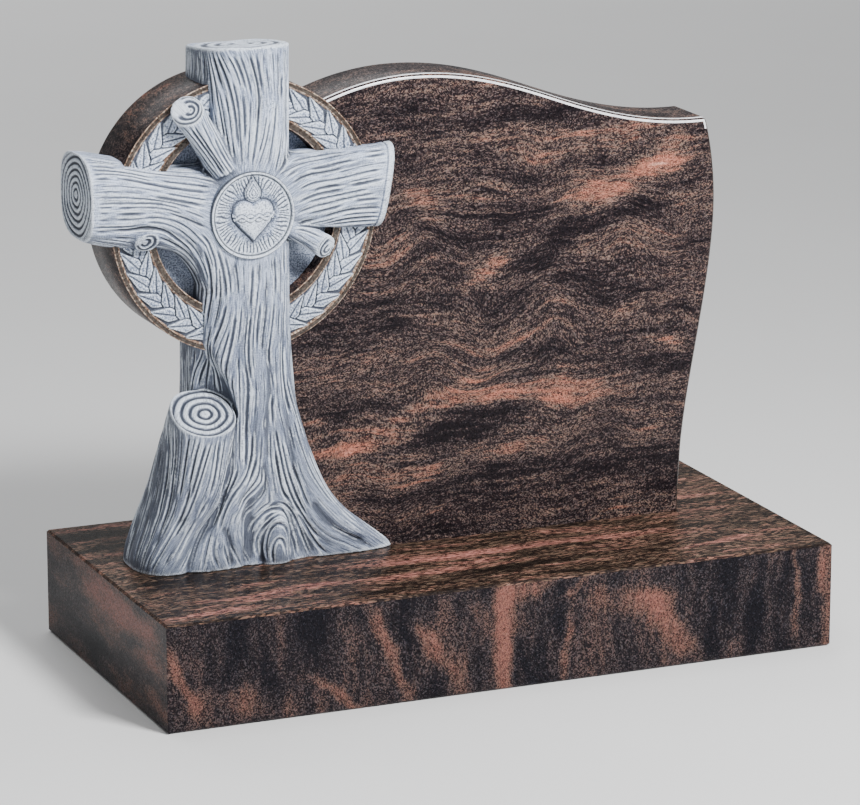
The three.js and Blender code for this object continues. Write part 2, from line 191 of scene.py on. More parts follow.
def level(height, left, right, front, back, tilt=0.0):
    """A station of an upright log, between limits across and deep."""
    centre = ((left + right) / 2 + cross_x, (front + back) / 2, seat + height)
    return centre, ((right - left) / 2, 0, 0), (0, (back - front) / 2, tilt)


def make_trunk():
    # Height, reach to the left and right, and how far the front is drawn back.
    swell = [
        (-0.02, 0.58, 0.9, 0.5),
        (0.06, 0.58, 0.86, 0.3),
        (0.12, 0.59, 0.82, 0.12),
        (0.193, 0.59, 0.75, 0),
        (0.273, 0.59, 0.656, 0),
        (0.352, 0.576, 0.592, 0),
        (0.45, 0.56, 0.555, 0),
        (0.6, 0.52, 0.55, 0),
        (0.8, 0.465, 0.552, 0),
        (1, 0.44, 0.56, 0),
    ]
    stations = []
    for rise, left, right, drawn in swell:
        fall = top_fall if rise == 1 else 0
        limits = (-left * trunk_width, right * trunk_width, tree_front + drawn * tree_proud, slab_back + past_back)
        stations.append(level(rise * tree_height - fall, *limits, -fall))
    return mesh_object("trunk", *log_skin(stations, 90, 120, (3, 3.5)))


def make_arm(side, reach, back, profile, lean):
    """A log to one side, its end leaning out at the top."""
    stations = []
    for n, (share, top, bottom) in enumerate(profile):
        tip = lean if n == len(profile) - 1 else 0
        height = arm_z + (top - bottom) / 2 * arm_height
        centre = (cross_x + side * share * reach, (tree_front + back) / 2, height)
        half = (top + bottom) / 2 * arm_height
        stations.append((centre, (side * tip, 0, half), (0, (back - tree_front) / 2, 0)))
    return mesh_object("arm", *log_skin(stations, 60, 84, (3, 3)))


# The arms: share of the reach, and how far the log stands above and below the arms' middle.
LEFT_ARM = [
    (0.1, 0.42, 1.3),
    (0.24, 0.4, 1.2),
    (0.33, 0.4, 0.86),
    (0.42, 0.4, 0.66),
    (0.55, 0.42, 0.56),
    (0.75, 0.5, 0.53),
    (0.9, 0.57, 0.47),
    (1, 0.6, 0.41),
]
RIGHT_ARM = [
    (0.1, 0.46, 0.56),
    (0.3, 0.48, 0.44),
    (0.5, 0.48, 0.45),
    (0.75, 0.48, 0.49),
    (1, 0.5, 0.5),
]


def unit(v):
    v = np.asarray(v, float)
    return v / np.linalg.norm(v)


def branch(start, end, radius, turn):
    """A short round branch, and the sawn end that its rings go on."""
    start, end = np.array(start, float), np.array(end, float)
    along = unit(end - start)
    face = unit(along * (1 - turn) + np.array([0, -1, 0]) * turn)
    across = unit(np.cross([0, 0, 1], along))
    deep = unit(np.cross(along, across))
    face_across = unit(across - face * across.dot(face))
    face_deep = unit(np.cross(face, face_across))
    stations = [
        (start, across * radius * 1.25, deep * radius * 1.1),
        ((start + end) / 2, across * radius, deep * radius),
        (end, face_across * radius * 1.12, face_deep * radius * 1.12),
    ]
    sawn = (end, face_across * radius * 1.12, face_deep * radius * 1.12, face)
    return mesh_object("branch", *log_skin(stations, 24, 48, (2, 2))), sawn


def make_stump():
    half, tilt = stump_width / 2, math.radians(stump_tilt)
    face_depth = half * math.cos(tilt)
    lean = [
        (-0.04, -1.27, -0.56, 0.5, 0),
        (0.1, -1.24, -0.58, 0.15, 0),
        (0.28, -1.13, -0.5, -0.1, 0.08),
        (0.46, -1.03, -0.3, -0.4, 0.2),
        (0.7, -0.95, -0.24, -0.75, 0.45),
    ]
    stations = []
    for rise, left, right, drawn, short in lean:
        rear = slab_back + past_back - short * slab_thickness
        limits = (left * trunk_width, right * trunk_width, tree_front + drawn * stump_proud, rear)
        stations.append(level(rise * stump_height, *limits, short * half))
    front = tree_front - stump_proud
    centre = np.array([cross_x - 0.56 * trunk_width, front + face_depth, seat + stump_height])
    across = np.array([half, 0, 0])
    deep = np.array([0, face_depth, half * math.sin(tilt)])
    stations.append((centre, across, deep))
    # The niche above the sawn face leans back to the left as it narrows.
    steps = [
        (0, 0, -0.3, 1.06),
        (0, 0, 0.1, 1.06),
        (0.3, 0, 1.1, 0.95),
        (0.8, 0.1, 2.2, 0.7),
        (1.1, 0.2, 3, 0.35),
    ]
    above = []
    for left, forward, up, share in steps:
        middle = centre + np.array([-left, -forward, up]) * half
        above.append((middle, across * share, deep * share))
    niche = mesh_object("niche", *log_skin(above, 30, 48))
    stump = mesh_object("stump", *log_skin(stations, 50, 84, (2.2, 2.6)))
    sawn = (centre, across, deep, unit(np.cross(across, deep)))
    return stump, niche, sawn


def make_roots():
    # Height, left and right side, and how far each root stands out in front of the slab.
    left_root = [
        (-0.04, -0.84, 0.04, 0.8),
        (0.084, -0.8, 0.03, 1.1),
        (0.28, -0.56, 0.02, 1.3),
        (0.56, -0.34, 0.06, 1.35),
        (0.884, -0.22, 0.1, 1.1),
    ]
    toe = [
        (-0.04, 0.08, 0.5, 0.85),
        (0.084, 0.06, 0.51, 1.35),
        (0.205, 0.09, 0.48, 1.5),
        (0.307, 0.16, 0.42, 1.45),
        (0.39, 0.24, 0.36, 0.9),
    ]
    right_root = [
        (-0.04, 0.5, 1.78, 0.5),
        (0.056, 0.48, 1.66, 0.7),
        (0.167, 0.46, 1.42, 0.9),
        (0.298, 0.44, 1.14, 1.05),
        (0.465, 0.42, 0.92, 1.15),
        (0.698, 0.38, 0.74, 1.2),
        (0.95, 0.32, 0.6, 1.1),
        (1.2, 0.28, 0.5, 0.9),
        (1.45, 0.2, 0.4, 0.5),
    ]
    roots = []
    for limits in (left_root, toe, right_root):
        stations = []
        for rise, left, right, share in limits:
            nose = slab_front - share * root_proud
            sides = (left * trunk_width, right * trunk_width)
            stations.append(level(rise * root_height, *sides, nose, slab_front + 30))
        roots.append(mesh_object("root_log", *log_skin(stations, 40, 60, (2.2, 2.2))))
    return roots


# Lines of the bark in the plane of the tree's front, each a few places of x and z in millimetres.
GRAIN = [
    [(-372, 872), (-358, 855), (-345, 830), (-338, 800)],
    [(-352, 868), (-330, 830), (-318, 790), (-312, 745), (-308, 715)],
    [(-330, 870), (-312, 840), (-302, 800), (-300, 740), (-300, 712)],
    [(-300, 868), (-288, 835), (-282, 800), (-288, 745), (-294, 712)],
    [(-270, 866), (-267, 830), (-262, 790), (-268, 750), (-280, 715)],
    [(-250, 865), (-249, 820), (-254, 770), (-262, 720), (-266, 708)],
    [(-236, 860), (-234, 800), (-238, 745), (-246, 712)],
    [(-402, 782), (-383, 762), (-366, 735), (-350, 708)],
    [(-385, 790), (-362, 752), (-342, 722), (-330, 702)],
    [(-365, 800), (-346, 758), (-330, 725), (-318, 708)],
    [(-540, 738), (-470, 738), (-420, 728), (-380, 713), (-345, 703)],
    [(-540, 716), (-470, 715), (-430, 702), (-390, 691), (-355, 685)],
    [(-540, 699), (-480, 697), (-440, 690), (-400, 680), (-358, 670)],
    [(-540, 672), (-460, 668), (-420, 664), (-385, 652), (-358, 640)],
    [(-540, 654), (-460, 650), (-420, 650), (-388, 638), (-364, 614)],
    [(-540, 642), (-470, 638), (-440, 640), (-415, 634), (-396, 618), (-378, 598), (-364, 568)],
    [(-520, 622), (-470, 608), (-445, 598), (-420, 598), (-398, 592), (-380, 578), (-368, 552)],
    [(-240, 697), (-215, 706), (-180, 712), (-140, 719), (-80, 722)],
    [(-240, 686), (-220, 698), (-185, 700), (-145, 707), (-80, 712)],
    [(-236, 672), (-205, 688), (-165, 690), (-125, 697), (-80, 700)],
    [(-235, 656), (-200, 670), (-160, 674), (-120, 678), (-80, 684)],
    [(-235, 642), (-200, 654), (-160, 659), (-120, 664), (-80, 668)],
    [(-240, 626), (-215, 636), (-180, 642), (-140, 650), (-80, 650)],
    [(-230, 618), (-190, 624), (-150, 634), (-80, 632)],
    [(-232, 612), (-210, 596), (-186, 582)],
    [(-216, 616), (-196, 604), (-172, 590)],
    [(-352, 600), (-346, 580), (-346, 540), (-358, 500), (-362, 470), (-372, 440), (-388, 412)],
    [(-335, 600), (-325, 570), (-322, 540), (-330, 500), (-345, 470), (-356, 448), (-374, 422)],
    [(-315, 585), (-310, 550), (-310, 510), (-315, 470), (-325, 430), (-328, 400), (-322, 350), (-320, 300)],
    [(-295, 585), (-297, 540), (-300, 500), (-305, 450), (-301, 410), (-304, 350), (-305, 300)],
    [(-280, 590), (-280, 560), (-285, 520), (-290, 480), (-290, 440), (-286, 400), (-290, 350), (-292, 310)],
    [(-262, 590), (-258, 550), (-262, 500), (-269, 450), (-264, 400), (-270, 350), (-273, 300), (-264, 245)],
    [(-245, 590), (-245, 540), (-248, 480), (-250, 430), (-249, 400), (-246, 370), (-236, 330), (-226, 285)],
    [(-236, 590), (-236, 460), (-234, 400), (-224, 360), (-214, 320), (-198, 280), (-176, 250)],
    [(-256, 370), (-246, 330), (-237, 290), (-227, 262), (-216, 232), (-200, 205), (-178, 182), (-150, 166)],
    [(-225, 320), (-210, 280), (-190, 250), (-165, 225), (-138, 200), (-110, 182), (-90, 168)],
    [(-292, 310), (-300, 285), (-312, 268), (-328, 250), (-345, 215), (-356, 180)],
    [(-284, 262), (-300, 246), (-318, 224), (-322, 200), (-312, 178), (-302, 162)],
    [(-287, 158), (-292, 190), (-284, 214), (-268, 229), (-249, 230), (-234, 214), (-222, 186), (-214, 164)],
    [(-276, 158), (-279, 184), (-270, 204), (-256, 210), (-244, 198), (-236, 176), (-232, 158)],
    [(-264, 158), (-264, 178), (-256, 186), (-249, 172), (-246, 158)],
    [(-338, 226), (-344, 200), (-346, 180), (-338, 160)],
    [(-326, 345), (-330, 300), (-337, 262), (-350, 228), (-364, 198), (-372, 165)],
    [(-345, 335), (-347, 300), (-353, 262), (-368, 222), (-384, 190), (-396, 165)],
    [(-368, 345), (-376, 318), (-388, 280), (-404, 240), (-430, 206), (-456, 182)],
    [(-390, 350), (-402, 310), (-417, 270), (-432, 234), (-450, 204), (-468, 184)],
    [(-408, 372), (-424, 320), (-438, 272), (-452, 232), (-468, 204)],
]


grid_step = 4.0


def grain_grid():
    """The bark's direction over the tree's front, as doubled angles on a grid."""
    places, angles = [], []
    for line in GRAIN:
        points = [np.array(p, float) for p in line]
        for t in np.linspace(0, 1, 5 * len(points)):
            here = along_curve(points, min(t, 0.999))
            ahead = along_curve(points, min(t + 0.01, 1.0))
            places.append(here)
            angles.append(2 * math.atan2(ahead[1] - here[1], ahead[0] - here[0]))
    places, angles = np.array(places), np.array(angles)
    xs, zs = np.arange(-560, -60, grid_step), np.arange(140, 888, grid_step)
    grid_x, grid_z = np.meshgrid(xs, zs, indexing="ij")
    gap = (grid_x[..., None] - places[:, 0]) ** 2 + (grid_z[..., None] - places[:, 1]) ** 2
    weight = 1 / (gap + 40) ** 2
    both = np.stack([(weight * np.cos(angles)).sum(-1), (weight * np.sin(angles)).sum(-1)], -1)
    return xs, zs, both / np.linalg.norm(both, axis=-1, keepdims=True)


GRID_X, GRID_Z, GRID = grain_grid()


def grain_at(x, z):
    """The grain's direction at one place, between the grid's four nearest."""
    i = min(max((x - GRID_X[0]) / grid_step, 0), len(GRID_X) - 1.001)
    j = min(max((z - GRID_Z[0]) / grid_step, 0), len(GRID_Z) - 1.001)
    a, b = int(i), int(j)
    u, w = i - a, j - b
    mixed = GRID[a, b] * (1 - u) * (1 - w) + GRID[a + 1, b] * u * (1 - w)
    mixed = mixed + GRID[a, b + 1] * (1 - u) * w + GRID[a + 1, b + 1] * u * w
    angle = math.atan2(mixed[1], mixed[0]) / 2
    return math.cos(angle), math.sin(angle)


def right_end(z):
    """Where the right arm's leaning end is, from the cross's axis."""
    return right_reach + 10 * (z - arm_z) / (arm_height / 2)


def read(items, name, width, kind=float):
    """One property of a mesh's vertices or edges, as rows of numbers."""
    values = np.empty(len(items) * width, kind)
    items.foreach_get(name, values)
    return values.reshape(-1, width)


class Bark:
    """The tree's skin, with tools that trace cuts along the grain and press them in."""

    def __init__(self, piece, sawn):
        mesh = piece.data
        count = len(mesh.vertices)
        self.places = read(mesh.vertices, "co", 3) / MM
        self.normals = read(mesh.vertices, "normal", 3)
        self.edges = read(mesh.edges, "vertices", 2, int)
        corners = [tuple(p.vertices) for p in mesh.polygons]
        self.tree = BVHTree.FromPolygons(self.places.tolist(), corners)
        self.near = KDTree(count)
        for n, place in enumerate(self.places.tolist()):
            self.near.insert(place, n)
        self.near.balance()
        self.sawn = sawn
        self.cut = np.zeros(count)
        self.crest = np.zeros(count)
        self.groove = np.zeros(count)
        self.sunk = np.zeros(count)

    def plain(self, place):
        """Whether a place is left without bark: hidden, on a sawn end, or beside the medallion."""
        x, y, z = place
        if y > slab_back - 5 or z < seat + 2:
            return True
        away = math.hypot(x - cross_x, z - ring_z)
        if away < ring_radius and y > ring_front + 1:
            in_pocket = away < pocket_radius and y < ring_front + pocket_depth
            if not in_pocket:
                return True
        if x > cross_x and y > slab_front + 1 and z < seat + 0.94 * tablet_rise:
            return True
        if math.hypot(x - cross_x, z - medallion_z) < medallion_radius + 5 and y < tree_front + 20:
            return True
        if z > tree_top - top_fall - top_fall * (y - top_middle) / top_half - 2.5:
            return True
        if z > arm_z - arm_height and not -left_reach + 4 < x - cross_x < right_end(z) - 12:
            return True
        for centre, across, deep, face in self.sawn:
            offset = np.array(place) - centre
            wide = offset.dot(across) / across.dot(across)
            tall = offset.dot(deep) / deep.dot(deep)
            if math.hypot(wide, tall) < 1.06 and abs(offset.dot(face)) < 7:
                return True
        return False

    def trace(self, start, length, step, taken, apart):
        """Walk along the grain both ways from a place, until another cut is near."""
        lines = []
        for way in (1, -1):
            line, place, heading = [], Vector(start), None
            while len(line) * step < length / 2:
                found, normal, _, _ = self.tree.find_nearest(place)
                if found is None or self.plain(found):
                    break
                if line and taken.close(found, apart * 0.55):
                    break
                line.append((found, normal))
                dx, dz = grain_at(found.x, found.z)
                along = Vector((dx, 0, dz))
                along -= normal * along.dot(normal)
                if along.length < 0.2:
                    break
                along.normalize()
                if heading is None:
                    along *= way
                elif along.dot(heading) < 0:
                    along.negate()
                heading = along
                place = found + along * step
            lines.append(line)
        return lines[1][::-1] + lines[0][1:]

    def press(self, line, step, width, depth):
        """Press one cut in, deepest in its middle and fading to both ends."""
        count = len(line)
        for n, (place, _) in enumerate(line):
            share = min(n, count - 1 - n) * step
            fade = min(1.0, (share + step) / (5 * width)) ** 0.7
            here = width * (0.55 + 0.45 * fade)
            for _, index, away in self.near.find_range(place, here * 2.2):
                t = away / here
                if t < 1:
                    deep = fade * (1 - t * t) ** 1.3
                    if deep > self.cut[index]:
                        self.cut[index] = deep
                    if deep * depth > self.groove[index]:
                        self.groove[index] = deep * depth

    def furrow(self, line, step, width, depth):
        """Press a broad shallow hollow in, which bears no colour."""
        count = len(line)
        hollow = {}
        for n, (place, _) in enumerate(line):
            fade = min(1.0, (min(n, count - 1 - n) + 1) * step / (3 * width))
            for _, index, away in self.near.find_range(place, width):
                deep = fade * (1 - (away / width) ** 2) ** 2 * depth
                if deep > hollow.get(index, 0):
                    hollow[index] = deep
        for index, deep in hollow.items():
            self.sunk[index] += deep

    def spread(self, values, rounds):
        """Values shared out between neighbours, again and again."""
        a, b = self.edges.T
        count = len(values)
        shares = np.bincount(a, minlength=count) + np.bincount(b, minlength=count) + 1e-9
        for _ in range(rounds):
            total = np.bincount(a, values[b], count) + np.bincount(b, values[a], count)
            values = 0.5 * values + 0.5 * total / shares
        return values

    def along(self):
        """The grain's direction on the skin at every place."""
        i = np.clip((self.places[:, 0] - GRID_X[0]) / grid_step, 0, len(GRID_X) - 1.001)
        j = np.clip((self.places[:, 2] - GRID_Z[0]) / grid_step, 0, len(GRID_Z) - 1.001)
        both = GRID[np.round(i).astype(int), np.round(j).astype(int)]
        angle = np.arctan2(both[:, 1], both[:, 0]) / 2
        line = np.stack([np.cos(angle), 0 * angle, np.sin(angle)], -1)
        line -= self.normals * (line * self.normals).sum(-1, keepdims=True)
        return line / (np.linalg.norm(line, axis=-1, keepdims=True) + 1e-6)


class Taken:
    """The places that cuts already run through, for keeping them apart."""

    def __init__(self, cell):
        self.cell = cell
        self.cells = {}

    def key(self, place):
        return tuple(int(math.floor(v / self.cell)) for v in place)

    def add(self, line):
        for place, _ in line:
            self.cells.setdefault(self.key(place), []).append(place)

    def close(self, place, distance):
        i, j, k = self.key(place)
        for a in (i - 1, i, i + 1):
            for b in (j - 1, j, j + 1):
                for c in (k - 1, k, k + 1):
                    for other in self.cells.get((a, b, c), ()):
                        if (other - place).length < distance:
                            return True
        return False


# Hollows between the roots and beside the stump: places of x and z, half width and depth.
HOLLOWS = [
    ([(-298, 152), (-295, 190), (-301, 230), (-304, 262)], 16, 5),
    ([(-238, 152), (-233, 195), (-238, 240), (-246, 292)], 15, 3.5),
    ([(-354, 210), (-340, 240), (-330, 290), (-326, 345)], 10, 3.5),
    ([(-206, 236), (-184, 206), (-150, 178), (-118, 162)], 11, 4),
    ([(-322, 152), (-326, 185), (-338, 215)], 8, 3.5),
    ([(-276, 153), (-279, 183), (-268, 205), (-250, 212)], 6, 2.5),
    ([(-392, 410), (-372, 440), (-356, 478)], 12, 3),
    ([(-420, 160), (-405, 200), (-396, 240)], 10, 3),
    ([(-268, 300), (-272, 350), (-266, 410), (-272, 470)], 9, 2.5),
    ([(-300, 330), (-303, 400), (-304, 470), (-300, 540)], 8, 2),
    ([(-362, 592), (-372, 606), (-392, 622), (-420, 636)], 9, 2.5),
]


def carve_bark(bark):
    """Press the hollows in, then broad furrows, then fine strokes, each kept apart from its like."""
    for line, width, depth in HOLLOWS:
        points = [np.array(p, float) for p in line]
        pressed = []
        for t in np.linspace(0, 1, 16 * len(line)):
            x, z = along_curve(points, min(t, 0.9999))
            found, normal, _, _ = bark.tree.ray_cast(Vector((x, far_front, z)), Vector((0, 1, 0)))
            if found is not None:
                pressed.append((found, normal))
        bark.furrow(pressed, 4, width, depth)
    chance = random.Random(7)
    count = len(bark.places)
    broad = Taken(20)
    for _ in range(700):
        start = Vector(bark.places[chance.randrange(count)])
        if bark.plain(start) or broad.close(start, 15):
            continue
        line = bark.trace(start, chance.uniform(60, 160), 4, broad, 15)
        if len(line) > 6:
            broad.add(line)
            bark.furrow(line, 4, chance.uniform(5, 9), chance.uniform(1.0, 2.3))
    fine = Taken(10)
    for _ in range(9000):
        start = Vector(bark.places[chance.randrange(count)])
        apart = chance.uniform(5.2, 9.2) * (1.6 if start.z < seat + 95 else 1)
        if bark.plain(start) or fine.close(start, apart):
            continue
        line = bark.trace(start, chance.uniform(40, 190), 1.3, fine, apart)
        if len(line) > 9:
            fine.add(line)
            width = chance.choice((1.5, 1.9, 2.4, 3.0))
            bark.press(line, 1.3, width, width * chance.uniform(0.7, 1.0))


# Sawn ends: how many rings, how far their middle is off to the side and down, and the angle that they
# open towards, in degrees, or None where they close.
END_RINGS = [
    (2.8, 0.3, 0.15, 200),
    (2.4, 0.2, -0.2, 60),
    (2.2, -0.2, 0.1, 150),
    (3.8, 0.05, -0.06, None),
    (6.2, 0.04, 0.0, None),
    (3.2, 0.1, 0.1, None),
]


def carve_rings(bark, sawn):
    """Cut growth rings into each sawn end, a little off centre and uneven."""
    for (centre, across, deep, face), (count, aside, down, opening) in zip(sawn, END_RINGS):
        offset = bark.places - centre
        wide = offset @ across / across.dot(across)
        tall = offset @ deep / deep.dot(deep)
        away = offset @ face
        whole = np.hypot(wide, tall)
        inward = np.clip(1 - whole, 0, 1)
        wide, tall = wide - aside * inward, tall - down * inward
        angle = np.arctan2(tall, wide)
        radius = np.hypot(wide, tall) * (1 + 0.05 * np.sin(2 * angle + count) + 0.015 * np.sin(5 * angle))
        on_end = (np.abs(away) < 5) & (np.abs(bark.normals @ face) > 0.5) & (whole < 1.0)
        ring = np.abs(((radius * (count + 0.25) + 0.15) % 1) - 0.5) * 2
        groove = np.where(on_end, smooth(ring, 0.1 if opening else 0.25, 0.7 if opening else 0.9), 0)
        if opening is not None:
            groove = groove * smooth(1 - np.cos(angle - math.radians(opening)), 0.08, 0.5)
        size = min(np.linalg.norm(across), np.linalg.norm(deep)) / (count + 0.25)
        bark.cut = np.maximum(bark.cut, groove)
        bark.groove = np.maximum(bark.groove, groove * min(2.0, size * 0.24))
        bark.crest = np.maximum(bark.crest, np.where(on_end, 0.8 * (1 - groove), 0))


def soften_niche(cross):
    """Run the hollow above the stump out into the trunk, so that no edge of the cut is left."""
    use(cross)
    modify(cross, "REMESH", mode="VOXEL", voxel_size=2.4 * MM)
    near = cross.vertex_groups.new(name="niche")
    for vertex in cross.data.vertices:
        x, _, z = vertex.co / MM
        away = math.hypot((x - cross_x + 62) / 62, (z - seat - 285) / 80)
        if away < 1:
            near.add([vertex.index], min(1, 3 * (1 - away)), "REPLACE")
    modify(cross, "SMOOTH", vertex_group="niche", factor=0.9, iterations=90)
    cross.vertex_groups.clear()


def left_arm_end():
    _, top, bottom = LEFT_ARM[-1]
    height = arm_z + (top - bottom) / 2 * arm_height
    centre = np.array([cross_x - left_reach, (tree_front + slab_back) / 2, height])
    across = np.array([0, 0, (top + bottom) / 2 * arm_height])
    deep = np.array([0, (slab_back - tree_front) / 2, 0])
    return centre, across, deep, np.array([-1.0, 0, 0])


def join_cross():
    """The tree before its bark is cut, with its sawn ends."""
    stub, stub_end = branch(
        (cross_x - 0.26 * trunk_width, tree_front + 22, arm_z + 0.36 * arm_height),
        (cross_x - 0.72 * trunk_width, tree_front + 6, arm_z + 1.1 * arm_height),
        stub_radius,
        0.45,
    )
    twig, twig_end = branch(
        (cross_x + 0.42 * trunk_width, tree_front + 20, arm_z - 0.34 * arm_height),
        (cross_x + 0.88 * trunk_width, tree_front + 6, arm_z - 0.66 * arm_height),
        twig_radius,
        0.6,
    )
    knot, knot_end = branch(
        (cross_x - 0.65 * left_reach, tree_front + 30, arm_z - 0.28 * arm_height),
        (cross_x - 0.65 * left_reach, tree_front + 6, arm_z - 0.42 * arm_height),
        knot_radius,
        0,
    )
    stump, niche, stump_end = make_stump()
    cross = make_trunk()
    left_arm = make_arm(-1, left_reach, slab_back, LEFT_ARM, 0)
    right_arm = make_arm(1, right_reach, slab_front + slab_thickness / 3, RIGHT_ARM, 10)
    combine(cross, [left_arm, right_arm, stub, twig, knot] + make_roots(), "UNION")
    combine(cross, [niche], "DIFFERENCE")
    soften_niche(cross)
    combine(cross, [stump], "UNION")
    behind = block("behind", (far_left, tree_back, 0), (far_right, far_back, far_up))
    below = block("below", (far_left, far_front, 0), (far_right, far_back, seat))
    combine(cross, [behind, below], "DIFFERENCE")
    cross.name = "cross"
    top_centre = np.array([cross_x + 8, top_middle, tree_top - top_fall])
    top_face = unit((0, top_fall, top_half))
    top_end = (top_centre, np.array([60.0, 0, 0]), np.array([0, 70.0, -6.8]), top_face)
    return cross, [stub_end, twig_end, knot_end, stump_end, left_arm_end(), top_end]


def find_hollows(bark):
    """How far each place lies in a hollow of the skin about it, for painted shade there, stronger near the foot.
    Ridges are marked as crests.
    """
    sunk = bark.places - bark.normals * bark.sunk[:, None]
    around = np.stack([bark.spread(sunk[:, k], 110) for k in range(3)], -1)
    bend = ((around - sunk) * bark.normals).sum(-1)
    low = 1 - smooth(bark.places[:, 2], seat + 90, seat + 260)
    hollow = np.clip((bend * (1 + 0.8 * low) + 0.5) / 1.8, 0, 1)
    bark.crest = np.maximum(bark.crest, 0.9 * np.clip((-bend - 0.9) / 1.5, 0, 1))
    return np.where(bark.places[:, 0] < cross_x - left_reach + 2.5, 0.0, hollow)


def mark_right_end(bark):
    """A thin cut round the right arm just before its end, and a pale strip beyond it."""
    gap = right_end(bark.places[:, 2]) - (bark.places[:, 0] - cross_x)
    band = (np.abs(bark.places[:, 2] - arm_z) < 0.7 * arm_height) & (bark.normals[:, 1] < 0.3) & (gap < 20)
    edge = np.where(band, np.exp(-(((gap - 12.5) / 1.3) ** 2)), 0)
    bark.cut = np.maximum(bark.cut, 0.8 * edge)
    bark.groove = np.maximum(bark.groove, 0.9 * edge)
    bark.crest = np.maximum(bark.crest, np.where(band & (gap < 11), 0.8, 0))


def carved_places(bark):
    """The skin with its cuts pressed in, kept flat behind and below and within the tree's limits."""
    places = bark.places - bark.normals * (bark.sunk + bark.groove)[:, None]
    gap = right_end(places[:, 2]) - (places[:, 0] - cross_x)
    at_end = (np.abs(places[:, 2] - arm_z) < arm_height) & (gap < 12) & (bark.normals[:, 1] < 0.2)
    places[:, 1] += np.where(at_end, 0.5 * np.clip(12 - gap, 0, 12) ** 2 / 12, 0)
    places[:, 1] = np.where(places[:, 1] > tree_back - 1.2, tree_back, places[:, 1])
    places[:, 2] = np.where(places[:, 2] < seat + 1.2, seat, places[:, 2])
    places[:, 0] = np.maximum(places[:, 0], cross_x - left_reach + 0.05)
    places[:, 2] = np.minimum(places[:, 2], tree_top - 0.05)
    return places


def make_cross():
    cross, sawn = join_cross()
    use(cross)
    modify(cross, "REMESH", mode="VOXEL", voxel_size=1.35 * MM)
    modify(cross, "SMOOTH", factor=0.5, iterations=4)
    bark = Bark(cross, sawn)
    carve_bark(bark)
    carve_rings(bark, sawn)
    hollow = find_hollows(bark)
    mark_right_end(bark)
    bark.cut *= 0.5 + 0.5 * smooth(bark.places[:, 2], seat, seat + 170)
    raised = bark.spread(bark.groove, 9) - bark.groove
    bark.crest = np.maximum(bark.crest, np.clip(raised / 0.5, 0, 1))
    cross.data.vertices.foreach_set("co", (carved_places(bark) * MM).ravel())
    store(cross, "cut", bark.cut)
    store(cross, "crest", bark.crest)
    # How deep each place lies in a hollow, which the material paints as shade.
    store(cross, "hollow", hollow)
    layer = cross.data.attributes.new("grain", "FLOAT_VECTOR", "POINT")
    layer.data.foreach_set("vector", bark.along().ravel())
    cross.data.update()
    triangles = sum(len(p.vertices) - 2 for p in cross.data.polygons)
    if triangles > most_triangles + 2000:
        modify(cross, "DECIMATE", ratio=most_triangles / triangles)
    bpy.ops.object.shade_smooth()
    return cross


# The polished stone: the ring's disc and the tablet in one.


def bezier(start, points, steps):
    a, b, c, d = [np.array(p) for p in (start, *points)]
    t = np.linspace(0, 1, steps + 1)[1:, None]
    return (a * (1 - t) ** 3 + 3 * b * t * (1 - t) ** 2 + 3 * c * t**2 * (1 - t) + d * t**3).tolist()


def tablet_outline():
    def at(reach, rise):
        return cross_x + reach * tablet_reach, seat + rise * tablet_rise

    line = [at(0, 0), at(0.9275, 0)]
    line += bezier(line[-1], (at(0.928, 0.04), at(0.93, 0.08), at(0.932, 0.113)), 6)
    line += bezier(line[-1], (at(0.937, 0.27), at(1, 0.5), at(1, 0.677)), 26)
    line += bezier(line[-1], (at(1, 0.748), at(0.989, 0.816), at(0.977, 0.86)), 12)
    line += bezier(line[-1], (at(0.859, 0.855), at(0.755, 0.888), at(0.659, 0.926)), 20)
    line += bezier(line[-1], (at(0.563, 0.964), at(0.472, 1), at(0.352, 1)), 20)
    line += bezier(line[-1], (at(0.261, 1), at(0.176, 0.974), at(0.1, 0.93)), 16)
    line.append(at(0, 0.85))
    return line


def select_faces(piece, test):
    bpy.ops.mesh.select_all(action="DESELECT")
    bpy.ops.object.mode_set(mode="OBJECT")
    for face in piece.data.polygons:
        face.select = test(face)
    bpy.ops.object.mode_set(mode="EDIT")


def make_tablet():
    outline = tablet_outline()
    bpy.ops.mesh.primitive_circle_add(vertices=len(outline), fill_type="NGON")
    tablet = bpy.context.object
    for vertex, (x, z) in zip(tablet.data.vertices, outline):
        vertex.co = (x * MM, slab_front * MM, z * MM)
    bpy.ops.object.mode_set(mode="EDIT")
    bpy.ops.mesh.select_all(action="SELECT")
    bpy.ops.mesh.extrude_region_move(TRANSFORM_OT_translate={"value": (0, slab_thickness * MM, 0)})
    bpy.ops.mesh.select_all(action="SELECT")
    bpy.ops.mesh.normals_make_consistent(inside=False)
    bpy.ops.object.mode_set(mode="OBJECT")
    modify(tablet, "BEVEL", width=tablet_arris * MM, segments=3, profile=0.5, angle_limit=math.radians(60))
    # The lower edge keeps no arris: it meets the base square.
    for vertex in tablet.data.vertices:
        if vertex.co.z < (seat + tablet_arris + 0.1) * MM:
            vertex.co.z = seat * MM
    return tablet


